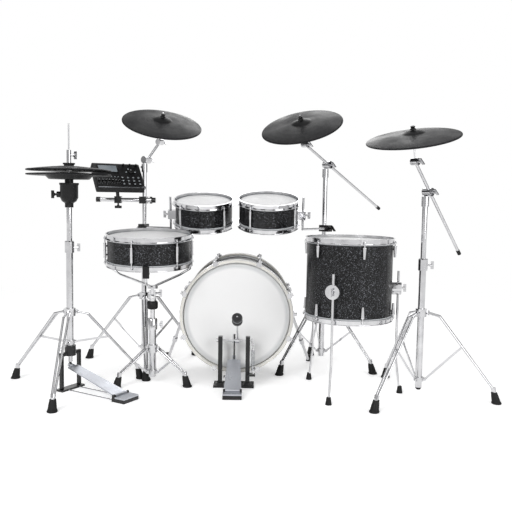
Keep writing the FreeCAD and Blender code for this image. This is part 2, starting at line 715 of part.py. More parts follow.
def tom_arm(name, place, turn, post):
    """The L-rod of a rack tom, and the clamp that holds it on its stand's post."""
    reach = size("tom_radius") + size("arm_standoff")
    top = place.multVec(spot(reach, turn, size("arm_above")))
    elbow = place.multVec(spot(reach, turn, -size("arm_below")))
    post_at = Vector(size(post + "_x"), size(post + "_y"), elbow.z)
    post_radius = size(post + "_upper_radius")
    beside = post_radius + size("arm_radius") + 6
    straight = post_at - elbow
    swing = math.degrees(math.asin(beside / straight.Length))
    aim = turned_point(straight.normalize(), swing if name == "left" else -swing)
    run = (post_at - elbow).dot(aim)
    bar = bent((top, elbow, elbow + aim * (run + 24)), size("arm_radius"))
    node(name + "_tom_arm", [feature(name + "_tom_l_rod", bar)])
    near = elbow + aim * run
    inward = (post_at - near).normalize()
    clamp = Part.makeBox(32, beside + 32, 30, Vector(-16, -14, -15))
    frame = Placement(near, Rotation(aim, inward, UP, "XYZ"))
    clamp.Placement = frame
    clamp = clamp.cut(rod(near - aim * 30, near + aim * 30, size("arm_radius") + size("slide_gap")))
    bore = post_radius + size("seat_gap")
    clamp = clamp.cut(Part.makeCylinder(bore, 60, post_at - UP * 30))
    screw = wing_screw(near - inward * (14 + size("seat_gap")), inward * -1, 8)
    return [feature(name + "_tom_clamp", clamp), feature(name + "_tom_clamp_screw", screw)]


def turned_point(point, degrees):
    """The point turned about Z."""
    return Rotation(UP, degrees).multVec(point)


clamps = {}
for name, post, turn in (("left", "left", 180.0), ("right", "middle", 0.0)):
    tom = name + "_tom"
    place = leaning(size(tom + "_x"), size(tom + "_y"), size(tom + "_z"), size(tom + "_tilt"))
    drum(
        tom,
        "tom_radius",
        "tom_depth",
        place,
        evenly(size(tom + "_lug_turn"), 4),
        tube_lug("tom_radius", "tom_depth", "tom_lug_length"),
        tom_bracket(tom, turn),
    )
    clamps[post] = tom_arm(name, place, turn, post)


def floor_brackets(angles):
    """The round brackets on the floor tom that grip its legs."""
    outer = size("floor_radius") + size("seat_gap")
    reach = size("floor_radius") + size("floor_leg_standoff")
    drop = size("floor_bracket_z") - size("floor_z")
    across = size("floor_bracket_radius")
    body = Part.makeCylinder(across, reach + 11 - outer + 6, Vector(outer - 6, 0, drop), Vector(1, 0, 0))
    body = body.cut(Part.makeCylinder(outer, 3 * across, Vector(0, 0, drop - 1.5 * across)))
    bore = size("floor_leg_radius") + size("slide_gap")
    body = body.cut(Part.makeCylinder(bore, 3 * across, Vector(reach, 0, drop - 1.5 * across)))
    screw = wing_screw(Vector(reach + 11 + size("seat_gap"), 0, drop), Vector(1, 0, 0), 6)
    made = []
    for i, angle in enumerate(angles):
        made.append(feature("floor_bracket_%d" % i, turned_about(body, angle)))
        made.append(feature("floor_screw_%d" % i, turned_about(screw, angle)))
    return made


FLOOR_LEGS = (("front", 245.0), ("rear", 130.0), ("right", -5.0))
floor_place = upright(size("floor_x"), size("floor_y"), size("floor_z"))
drum(
    "floor_tom",
    "floor_radius",
    "floor_depth",
    floor_place,
    evenly(size("floor_lug_turn"), 6),
    end_lugs("floor_radius", "floor_depth", "floor_lug_length", "floor_lug_inset"),
    floor_brackets([angle for _, angle in FLOOR_LEGS]),
)


def rubber_tip(foot, way, bore, depth):
    """A conical rubber tip that stands on the floor round the end of a leg."""
    cone = Part.makeCone(size("tip_radius"), size("tip_neck") + 1, size("tip_height"), foot)
    return cone.cut(rod(foot + way * depth, foot + way * 60, bore + size("seat_gap")))


reach = size("floor_radius") + size("floor_leg_standoff")
for side, angle in FLOOR_LEGS:
    kick_out = size("floor_leg_kick_out")
    top = spot(reach, angle, size("floor_leg_top"))
    bend = spot(reach, angle, size("floor_leg_bend"))
    foot = spot(reach + kick_out, angle, 0)
    way = (bend - foot).normalize()
    leg = bent((top, bend, foot + way * 8), size("floor_leg_radius"))
    tip = rubber_tip(foot, way, size("floor_leg_radius"), 8 - size("seat_gap"))
    node(
        "floor_tom_leg_" + side,
        [feature("floor_leg_" + side, leg), feature("floor_tip_" + side, tip)],
        upright(size("floor_x"), size("floor_y")),
    )

# Kick drum, whose batter edge is at Z = 0 in its own frame

kick_height = size("kick_radius") + size("kick_clearance")
kick_place = Placement(
    Vector(size("kick_x"), size("kick_front") + size("kick_film_inset"), kick_height),
    Rotation(Vector(1, 0, 0), 90),
)
kick_wall = turned(
    "kick_wall",
    (
        ("kick_radius - shell_wall", "0"),
        ("kick_radius", "0"),
        ("kick_radius", "0 - kick_depth"),
        ("kick_radius - shell_wall", "0 - kick_depth"),
    ),
)
inner = size("kick_radius") - size("shell_wall") - size("seat_gap")
drop = size("trigger_drop")
tower = Part.makeBox(
    size("trigger_bar_width") * 2,
    2 * inner,
    size("trigger_bar_height"),
    Vector(-size("trigger_bar_width"), -inner, -drop - size("trigger_bar_height")),
)
tower = tower.common(Part.makeCylinder(inner, 2 * drop, Vector(0, 0, -2 * drop)))
pillow = turned(
    "kick_pillow",
    (
        ("0", "seat_gap - trigger_drop"),
        ("kick_radius * 0.3", "seat_gap - trigger_drop"),
        ("kick_radius * 0.24", "0 - seat_gap"),
        ("0", "0 - seat_gap"),
    ),
)
SPUR_SIDES = (("left", -1.0), ("right", 1.0))
pivot_height = size("spur_pivot_z") - kick_height
pivot_depth = size("kick_front") + size("kick_film_inset") - size("spur_pivot_y")
wall_out = math.sqrt(size("kick_radius") ** 2 - pivot_height**2)
brackets = []
for side, sign in SPUR_SIDES:
    start = Vector(sign * (wall_out - 8), pivot_height, pivot_depth)
    stub = rod(start, start + Vector(sign * 16, 0, 0), 22)
    stub = stub.cut(
        Part.makeCylinder(size("kick_radius") + size("seat_gap"), 120, Vector(0, 0, pivot_depth - 60))
    )
    end = Vector(sign * (wall_out + size("spur_pivot_out") + 12), pivot_height, pivot_depth)
    pin = rod(start + Vector(sign * 15, 0, 0), end, size("spur_pin_radius"))
    brackets.append(feature("kick_spur_pin_" + side, stub.fuse(pin).removeSplitter()))
node("kick_shell", [kick_wall, feature("kick_tower", tower), pillow] + brackets, kick_place)
kick_pair = heads("kick", "kick_radius", "kick_depth", "kick_flesh_width", "kick_flesh_height")
node("kick_heads", kick_pair, kick_place)
kick_rims = []
for side, edge, out, back in (("batter", "0", "+", "-"), ("front", "0 - kick_depth", "-", "+")):
    rim_inner = "kick_radius + film + rim_clear"
    rim_outer = rim_inner + " + kick_hoop_wall"
    face = beyond(edge, out, "kick_film_inset")
    rear = beyond(edge, out, "kick_film_inset - kick_hoop_width")
    step = beyond(edge, back, "collar_drop - seat_gap")
    kick_rims.append(
        turned(
            "kick_%s_rim" % side,
            (
                (rim_inner, face),
                (rim_outer, face),
                (rim_outer, rear),
                (rim_inner + " + kick_hoop_rebate", rear),
                (rim_inner + " + kick_hoop_rebate", step),
                (rim_inner, step),
            ),
        )
    )
node("kick_hoops", kick_rims, kick_place)
rim_out = size("kick_radius") + size("film") + size("rim_clear") + size("kick_hoop_wall")
rod_ring = rim_out + 8
plate = size("claw_plate")
gap = size("seat_gap")
face = size("kick_film_inset")
width = size("claw_width")
claw = Part.makeBox(16, width, plate, Vector(rim_out - 10, -width / 2, face + gap)).fuse(
    [
        Part.makeBox(plate, width, 26, Vector(rim_out + gap + 0.4, -width / 2, face + gap + plate - 26)),
        Part.makeBox(14, width * 0.7, 12, Vector(rim_out + gap + 2, -width * 0.35, face - 20)),
    ]
)
hook_hole = Part.makeCylinder(size("rod_radius") + gap, 80, Vector(rod_ring, 0, face - 50))
claw = claw.removeSplitter().cut(hook_hole)
half = -size("kick_depth") / 2
kick_rod = rod(Vector(rod_ring, 0, half + 8), Vector(rod_ring, 0, face - 7.9), size("rod_radius"))
kick_rod = kick_rod.fuse(
    rod(Vector(rod_ring, 0, face - 7.9), Vector(rod_ring, 0, face - 2), size("rod_head_radius"))
).removeSplitter()
stand_off = size("kick_radius") + gap
kick_lug = rod(
    Vector(rod_ring, 0, half - size("kick_lug_length") / 2),
    Vector(rod_ring, 0, half + size("kick_lug_length") / 2),
    7,
).fuse(brick((stand_off + rod_ring) / 2 - 3, 0, half - 14, rod_ring - stand_off + 6, 12, 28))
kick_lug = kick_lug.cut(
    [
        Part.makeCylinder(stand_off, 200, Vector(0, 0, half - 100)),
        Part.makeCylinder(size("rod_radius") + gap, 200, Vector(rod_ring, 0, half - 100)),
    ]
)
flip = Placement(Vector(0, 0, 2 * half), Rotation(Vector(1, 0, 0), 180))
claws = []
for i, angle in enumerate(evenly(size("claw_turn"), 8)):
    claws.append(feature("kick_lug_%d" % i, turned_about(kick_lug, angle)))
    for j, piece in enumerate((claw, kick_rod)):
        batter = turned_about(piece, angle)
        claws.append(feature("kick_claw_%d_%d" % (i, j), batter))
        front = batter.copy()
        front.Placement = flip.multiply(front.Placement)
        claws.append(feature("kick_claw_front_%d_%d" % (i, j), front))
node("kick_claws", claws, kick_place)
for side, sign in SPUR_SIDES:
    out = wall_out + size("spur_pivot_out")
    pivot = Vector(size("kick_x") + sign * out, size("spur_pivot_y"), size("spur_pivot_z"))
    across = Vector(sign, 0, 0)
    barrel = rod(pivot - across * 13, pivot + across * 10, 17)
    foot = Vector(pivot.x + sign * size("spur_foot_out"), pivot.y + size("spur_foot_back"), 0)
    way = (pivot - foot).normalize()
    leg = rod(foot + way * 10, pivot - way * 8, size("spur_radius"))
    body = barrel.fuse(leg).removeSplitter()
    bore = size("spur_pin_radius") + size("slide_gap")
    body = body.cut(rod(pivot - across * 20, pivot + across * 20, bore))
    collar = rod(foot + way * 120, foot + way * 146, size("spur_radius") + 4)
    collar = collar.cut(rod(foot + way * 110, foot + way * 156, size("spur_radius") + gap))
    knob = rod(pivot + across * 10.5, pivot + across * 24, 9)
    knob = knob.cut(rod(pivot, pivot + across * 20, size("spur_pin_radius") + size("slide_gap")))
    cone = Part.makeCone(size("tip_radius"), size("spur_radius") + 3, size("tip_height"), foot)
    cone = cone.cut(rod(foot + way * 10, foot + way * 80, size("spur_radius") + gap))
    node(
        "kick_spur_" + side,
        [
            feature("spur_leg_" + side, body),
            feature("spur_collar_" + side, collar),
            feature("spur_knob_" + side, knob),
            feature("spur_tip_" + side, cone),
        ],
    )


# Pedals, each in a frame whose X runs from the heel's hinge to the toe


def heel(width, hinge_height, plate_length):
    """The heel's block with its hinge pin, and the plate on it."""
    barrel, gap = size("hinge_barrel_radius"), size("free_gap")
    top = hinge_height - barrel - gap
    ear = 9.0
    block = brick(4 - plate_length / 2, 0, 0, plate_length + 8, width, top)
    pin = Vector(0, -width / 2, hinge_height)
    pieces = [rod(pin, pin + Vector(0, width, 0), size("hinge_pin_radius"))]
    for start in (-width / 2, width / 2 - ear):
        pieces.append(Part.makeBox(2 * barrel, ear, hinge_height, Vector(-barrel, start, 0)))
        eye = Vector(0, start, hinge_height)
        pieces.append(rod(eye, eye + Vector(0, ear, 0), barrel))
    body = block.fuse(pieces).removeSplitter()
    rest = barrel + gap + 1
    plate = brick(-(plate_length + rest) / 2, 0, top + size("seat_gap"), plate_length - rest, width, 6)
    return body, plate


def board(toe, hinge_height, heel_width, toe_width, barrel_width, slot):
    """A footboard from its hinge barrel to the fork at its toe."""
    hinge = Vector(0, 0, hinge_height)
    run = toe - hinge
    way = Vector(run).normalize()
    thick = size("footboard_thickness")
    lie = Placement(hinge, Rotation(way, Vector(0, 1, 0), way.cross(Vector(0, 1, 0)), "XYZ"))
    half = (barrel_width / 2, heel_width / 2, toe_width / 2)
    end = run.Length - 15
    corners = [(0, half[0]), (11, half[0]), (15, half[1]), (end, half[2])]
    ring = [Vector(x, y, -thick / 2) for x, y in corners]
    ring += [Vector(x, -y, -thick / 2) for x, y in reversed(corners)]
    plate = Part.Face(Part.makePolygon(ring + ring[:1])).extrude(Vector(0, 0, thick))
    pieces = []
    for y in (-7.6, 3.6):
        pieces.append(Part.makeBox(26, 4, 14, Vector(run.Length - 19, y, -7)))
    body = plate.fuse(pieces)
    body.Placement = lie
    side = Vector(0, barrel_width / 2, 0)
    body = body.fuse(rod(hinge - side, hinge + side, size("hinge_barrel_radius")))
    bore = size("hinge_pin_radius") + size("slide_gap")
    body = body.cut(rod(hinge - side * 2, hinge + side * 2, bore))
    cross = Vector(0, 9, 0)
    if slot:
        for shift in (-slot, 0, slot):
            at = toe + Vector(shift, 0, 0)
            body = body.cut(rod(at - cross, at + cross, 2.5))
        flat = Part.makeBox(2 * slot, 18, 5, toe + Vector(-slot, -9, -2.5))
        return body.cut(flat)
    pin = rod(toe - Vector(0, 7.6, 0), toe + Vector(0, 7.6, 0), size("link_pin_radius"))
    return body.fuse(pin).removeSplitter()


def eye_plate(start, end, radii, low, high):
    """A flat bar across Y from low to high with a round eye at each end."""
    run = end - start
    way = Vector(run).normalize()
    across = Vector(0, 1, 0)
    width = min(radii) * 1.7
    bar = Part.makeBox(run.Length, high - low, width, Vector(0, low, -width / 2))
    bar.Placement = Placement(start, Rotation(way, across, way.cross(across), "XYZ"))
    eyes = [
        rod(at + across * low, at + across * high, radius)
        for at, radius in zip((start, end), radii)
    ]
    return bar.fuse(eyes).removeSplitter()


heel_y = size("pedal_axle_y") - size("heel_hinge_reach")
pedal_place = upright(size("pedal_x"), heel_y, 0, 90)
axle = Vector(size("heel_hinge_reach"), 0, size("pedal_axle_z"))
across = Vector(0, 1, 0)
post_y = size("post_spacing") / 2
block_body, block_plate = heel(size("heel_width"), size("heel_hinge_height"), size("heel_plate_length"))
base_x = axle.x - 22 + size("base_length") / 2
frame = brick(base_x, 0, 0, size("base_length"), size("base_width"), size("base_thickness"))
uprights = []
for sign in (-1, 1):
    tall = axle.z - size("bearing_height") / 2
    uprights.append(
        brick(axle.x, sign * post_y, 4, size("post_thickness"), size("post_width"), tall)
    )
    uprights.append(brick(axle.x, sign * post_y, 4, 36, size("post_width") + 8, 16))
    uprights.append(
        brick(axle.x, sign * post_y, tall, size("bearing_width"), size("post_width"), size("bearing_height"))
    )
spring_y = -(post_y + size("post_width") / 2 + 14)
fall = math.radians(size("rocker_fall"))
hook = axle + Vector(-math.cos(fall), 0, -math.sin(fall)) * size("rocker_reach")
shelf = size("spring_foot") - 16
uprights.append(Part.makeBox(34, 32, 8, Vector(hook.x - 9, spring_y - 10, shelf - 8)))
frame = frame.fuse(uprights).removeSplitter()
bearing = size("axle_radius") + size("slide_gap")
frame = frame.cut(rod(axle - across * 100, axle + across * 100, bearing))
face_x = size("kick_front") - heel_y
grip = Part.makeBox(26, 44, 62, Vector(face_x - 9, -22, size("base_thickness") + gap))
side_shift = size("pedal_x") - size("kick_x")
hoop_axis = Vector(face_x - gap, side_shift, kick_height)
hoop_way = Vector(size("kick_hoop_width") + 2 * gap, 0, 0)
grip = grip.cut(rod(hoop_axis, hoop_axis + hoop_way, rim_out + gap, size("kick_radius") + 1.75))
grip = grip.cut(Part.makeBox(40, 60, 60, Vector(face_x + 10, -30, kick_height - rim_out + 4)))
grip_screw = wing_screw(Vector(face_x - 1, 22 + gap, 30), across, 8)
links = []
for y in (-30, 30):
    start = Vector(8 + gap, y, 4)
    links.append(rod(start, Vector(base_x - size("base_length") / 2 - gap, y, 4), size("radius_rod")))
node(
    "kick_pedal_frame",
    [
        feature("pedal_heel", block_body),
        feature("pedal_heel_plate", block_plate),
        feature("pedal_base", frame),
        feature("pedal_grip", grip),
        feature("pedal_grip_screw", grip_screw),
    ]
    + [feature("pedal_link_%d" % i, link) for i, link in enumerate(links)],
    pedal_place,
)
lift = math.radians(size("cam_lift"))
cam_pin = axle + Vector(math.cos(lift), 0, math.sin(lift)) * size("cam_radius")
toe = Vector(cam_pin.x, 0, size("toe_height"))
barrel_width = size("heel_width") - 18 - 2 * size("free_gap")
plate = board(
    toe, size("heel_hinge_height"), size("footboard_width"), size("footboard_toe_width"), barrel_width, 0
)
node("kick_footboard", [feature("pedal_board", plate)], pedal_place)
lean = math.radians(size("beater_angle"))
aim = Vector(-math.sin(lean), 0, math.cos(lean))
beater_at = axle + Vector(0, -14, 0)
beater_mid = beater_at + aim * size("beater_length")
shaft = rod(axle + across * (post_y + 19), axle + across * (spring_y + 5), size("axle_radius"))
shaft = shaft.fuse(
    [
        eye_plate(axle, cam_pin, (11, 7), -7.2, -3.6),
        eye_plate(axle, cam_pin, (11, 7), 3.6, 7.2),
        rod(cam_pin - across * 7.2, cam_pin + across * 7.2, size("link_pin_radius")),
        rod(beater_at - across * 6.7, beater_at + across * 7, 11),
        rod(beater_at, beater_mid + aim * 21, size("beater_rod_radius")),
        eye_plate(axle, hook, (9, 6), spring_y + 4, spring_y + 9),
        rod(hook + across * (spring_y + 5), hook + across * (spring_y - 6), size("link_pin_radius")),
        rod(axle + across * (post_y + 9.6), axle + across * (post_y + 18), 8),
    ]
).removeSplitter()
node("kick_beater_shaft", [feature("beater_shaft", shaft)], pedal_place)
beater = turned(
    "beater_felt",
    (
        ("beater_rod_radius + seat_gap", "0 - beater_head_height / 2"),
        ("beater_head_radius * 0.8", "0 - beater_head_height / 2"),
        ("beater_head_radius", "0 - beater_head_height * 0.32"),
        ("beater_head_radius", "0 - beater_head_height * 0.12"),
        ("beater_head_radius * 0.86", "0"),
        ("beater_head_radius", "beater_head_height * 0.12"),
        ("beater_head_radius", "beater_head_height * 0.32"),
        ("beater_head_radius * 0.8", "beater_head_height / 2"),
        ("beater_rod_radius + seat_gap", "beater_head_height / 2"),
    ),
)
beater.Placement = Placement(beater_mid, Rotation(UP, aim))
node("kick_beater_head", [beater], pedal_place)
link = eye_plate(toe, cam_pin, (6.5, 6.5), -3, 3)
link = link.cut(rod(cam_pin - across * 5, cam_pin + across * 5, size("link_pin_radius") + size("slide_gap")))
slot, play = size("link_slot"), size("link_pin_radius") + size("link_slot_play")
eye = Part.makeBox(slot + 2 * play + 5.2, 6, 12, toe - Vector(slot + play + 2.6, 3, 6))
link = link.fuse(eye).removeSplitter()
link = link.cut(Part.makeBox(slot, 10, 2 * play, toe - Vector(slot, 5, play)))
for at in (toe, toe - Vector(slot, 0, 0)):
    link = link.cut(rod(at - across * 5, at + across * 5, play))
node("kick_drive_link", [feature("drive_link", link)], pedal_place)


def biarc(start, start_way, end, end_way):
    """Two tangent arcs from one point and direction to another."""
    run = end - start
    ways = start_way + end_way
    bend = 2 * (1 - start_way.dot(end_way))
    reach = (-run.dot(ways) + math.sqrt(run.dot(ways) ** 2 + bend * run.dot(run))) / bend
    joint = (start + start_way * reach + end - end_way * reach) * 0.5
    return [arc(start, joint, start + start_way * reach), arc(joint, end, end - end_way * reach)]


def arc(start, end, corner):
    """The arc from start to end whose tangents there meet in the corner."""
    chord = end - start
    middle = (start + end) * 0.5
    rise = corner - middle
    turn = math.atan2(rise.Length, chord.Length / 2)
    bow = chord.Length / 2 * math.tan(turn / 2)
    return Part.Arc(start, middle + rise.normalize() * bow, end).toShape()


def coil(foot, radius, pitch, turns):
    """The line of a coil spring that stands on foot, with its points a quarter turn apart."""
    marks = []
    for i in range(int(turns * 4) + 1):
        angle = math.pi / 2 * i
        at = foot + Vector(radius * math.cos(angle), radius * math.sin(angle), pitch * i / 4)
        way = Vector(-radius * math.sin(angle), radius * math.cos(angle), pitch / (2 * math.pi))
        marks.append((at, way.normalize()))
    edges = []
    for (at, way), (next_at, next_way) in zip(marks, marks[1:]):
        edges += biarc(at, way, next_at, next_way)
    return edges, marks


spring_at = Vector(hook.x, spring_y, size("spring_foot"))
wire = size("spring_wire")
edges, marks = coil(spring_at, size("spring_radius"), size("spring_pitch"), size("spring_turns"))
line = Part.Wire(edges)
section = Part.Wire([Part.Circle(marks[0][0], marks[0][1], wire).toShape()])
spring = line.makePipeShell([section], True, False)
points = line.discretize(int(size("spring_turns")) * 48)
far = int(len(points) / size("spring_turns") / 2)
gap_to_itself = min(
    (points[i] - points[j]).Length for i in range(0, len(points), 3) for j in range(i + far, len(points), 2)
)
print("least gap between the spring's curls: %.2f mm" % (gap_to_itself - 2 * wire))
spring_top = size("spring_foot") + size("spring_turns") * size("spring_pitch")
core = size("spring_radius") - wire - 0.5
low_plug = rod(Vector(spring_at.x, spring_y, shelf + gap), Vector(spring_at.x, spring_y, spring_at.z + 9), core)
plug_top = Vector(spring_at.x, spring_y, spring_top + 8)
hook_at = Vector(hook.x, spring_y, hook.z)
high_plug = rod(plug_top - UP * 17, plug_top, core).fuse(
    [
        rod(plug_top - UP, hook_at, 2.5),
        rod(hook_at - across * 3, hook_at + across * 3, 6),
    ]
).removeSplitter()
hook_bore = size("link_pin_radius") + size("slide_gap")
high_plug = high_plug.cut(rod(hook_at - across * 5, hook_at + across * 5, hook_bore))
node(
    "kick_pedal_spring",
    [
        feature("spring_coil", spring),
        feature("spring_low_plug", low_plug),
        feature("spring_high_plug", high_plug),
    ],
    pedal_place,
)

# Stands


def tripod(name, knee_reach, hub_z=None):
    """Hub, stay collar, legs and stays of a stand whose tube stands on Z, and its rubber feet."""
    bore = size(name + "_lower_radius") + size("seat_gap")
    hub_z, low_z = size(name + "_hub"), size(name + "_low")
    reach, first = size(name + "_reach"), size(name + "_turn")
    hub_radius, tall = size("hub_radius"), size("hub_height")
    pinch, spread, ankle_half = size("leg_pinch"), size("leg_spread"), size("ankle_half")
    bar, thin, rivet = size("leg_bar"), size("stay_thickness"), 3.0
    loose = rivet + size("slide_gap")
    side = Vector(0, 1, 0)
    pin_at = Vector(hub_radius + 6, 0, hub_z)
    knee = Vector(knee_reach, 0, hub_z - size("knee_drop"))
    foot = Vector(reach, 0, 0)
    foot_top = Vector(reach - size("foot_lean"), 0, size("foot_height"))
    way = (foot_top - foot).normalize()
    ankle = foot + way * (size("foot_height") + 12)
    bars = []
    for sign in (-1, 1):
        path = (
            pin_at + side * (sign * pinch),
            knee + side * (sign * spread),
            ankle + side * (sign * ankle_half),
        )
        bars.append(bent(path, bar))
    share = size("stay_share")
    stay_at = knee + (ankle - knee) * share
    stay_half = spread + (ankle_half - spread) * share
    leg = bars[0].fuse(
        [
            bars[1],
            rod(pin_at - side * pinch, pin_at + side * pinch, rivet),
            rod(stay_at - side * stay_half, stay_at + side * stay_half, rivet),
            rod(ankle + way * 9, ankle - way * 6, ankle_half + bar + 1),
            rod(ankle, foot + way * 14, size("plug_radius")),
        ]
    ).removeSplitter()
    ear = Part.makeBox(14, 4, 20, Vector(hub_radius - 3, -2, hub_z - 10))
    ear = ear.fuse(rod(pin_at - side * 2, pin_at + side * 2, 8)).removeSplitter()
    ear = ear.cut(rod(pin_at - side * 5, pin_at + side * 5, loose))
    hub = Part.makeCylinder(hub_radius, tall, Vector(0, 0, hub_z - tall / 2))
    hub = hub.fuse([turned_about(ear, angle) for angle in evenly(first, 3)]).removeSplitter()
    hub = hub.cut(Part.makeCylinder(bore, 3 * tall, Vector(0, 0, hub_z - 1.5 * tall)))
    low_radius = bore + 5
    low_at = Vector(low_radius + 6, 0, low_z)
    fork = []
    for y in (-thin / 2 - 3.3, thin / 2 + 0.3):
        fork.append(Part.makeBox(10, 3, 12, Vector(low_radius - 2, y, low_z - 6)))
        fork.append(rod(low_at + side * y, low_at + side * (y + 3), 6))
    fork.append(rod(low_at - side * (thin / 2 + 1), low_at + side * (thin / 2 + 1), rivet))
    low = Part.makeCylinder(low_radius, 18, Vector(0, 0, low_z - 9))
    for angle in evenly(first, 3):
        low = low.fuse([turned_about(piece, angle) for piece in fork])
    low = low.removeSplitter().cut(Part.makeCylinder(bore, 60, Vector(0, 0, low_z - 30)))
    stay = eye_plate(low_at, stay_at, (5.4, 5.4), -thin / 2, thin / 2)
    for at in (low_at, stay_at):
        stay = stay.cut(rod(at - side * 5, at + side * 5, loose))
    pieces = [feature(name + "_hub_collar", hub), feature(name + "_stay_collar", low)]
    base = Part.Wire([Part.Circle(foot, UP, size("foot_radius")).toShape()])
    neck = Part.Wire([Part.Circle(foot_top, UP, size("foot_neck")).toShape()])
    boot = Part.makeLoft([base, neck], True, True)
    boot = boot.cut(rod(foot + way * 13, foot + way * 80, size("plug_radius") + size("seat_gap")))
    for i, angle in enumerate(evenly(first, 3)):
        pieces.append(feature("%s_leg_%d" % (name, i), turned_about(leg, angle)))
        pieces.append(feature("%s_stay_%d" % (name, i), turned_about(stay, angle)))
        rubber = feature("%s_boot_%d" % (name, i), turned_about(boot, angle))
        rubber.Placement = stand_place(name).multiply(rubber.Placement)
        BOOTS.append(rubber)
    return pieces


def stand_place(name):
    """Where a stand's axis meets the floor."""
    prefix = "snare_stand" if name == "snare" else name
    return upright(size(prefix + "_x"), size(prefix + "_y"))


def lower_tube(name):
    """The tube that the legs hold, bored for the tube that slides in it."""
    inner = name + "_upper_radius + slide_gap"
    return turned(
        name + "_lower_tube",
        (
            (inner, name + "_lower_foot"),
            (name + "_lower_radius", name + "_lower_foot"),
            (name + "_lower_radius", name + "_lower_top"),
            (inner, name + "_lower_top"),
        ),
    )


def height_clamp(name):
    """The clamp round a lower tube's top, closed in round the upper tube, with its wing screw."""
    top, outer = name + "_lower_top", name + "_lower_radius + clamp_wall"
    clamp = turned(
        name + "_clamp",
        (
            (name + "_lower_radius + seat_gap", top + " - clamp_height * 0.7"),
            (outer, top + " - clamp_height * 0.7"),
            (outer, top + " + clamp_height * 0.22"),
            (outer + " - 2.5", top + " + clamp_height * 0.3"),
            (name + "_upper_radius + slide_gap", top + " + clamp_height * 0.3"),
            (name + "_upper_radius + slide_gap", top + " + seat_gap"),
            (name + "_lower_radius + seat_gap", top + " + seat_gap"),
        ),
    )
    start = Vector(reckon(outer) + size("seat_gap"), 0, size(name + "_lower_top") - 12)
    screw = wing_screw(start, Vector(1, 0, 0), 9)
    return [clamp, feature(name + "_clamp_screw", screw)]


def upper_tube(name, top):
    """The tube that slides in a stand's lower tube."""
    inner = name + "_upper_radius - 2"
    return turned(
        name + "_upper_tube",
        (
            (inner, name + "_upper_foot"),
            (name + "_upper_radius", name + "_upper_foot"),
            (name + "_upper_radius", top),
            (inner, top),
        ),
    )


BOOTS = []


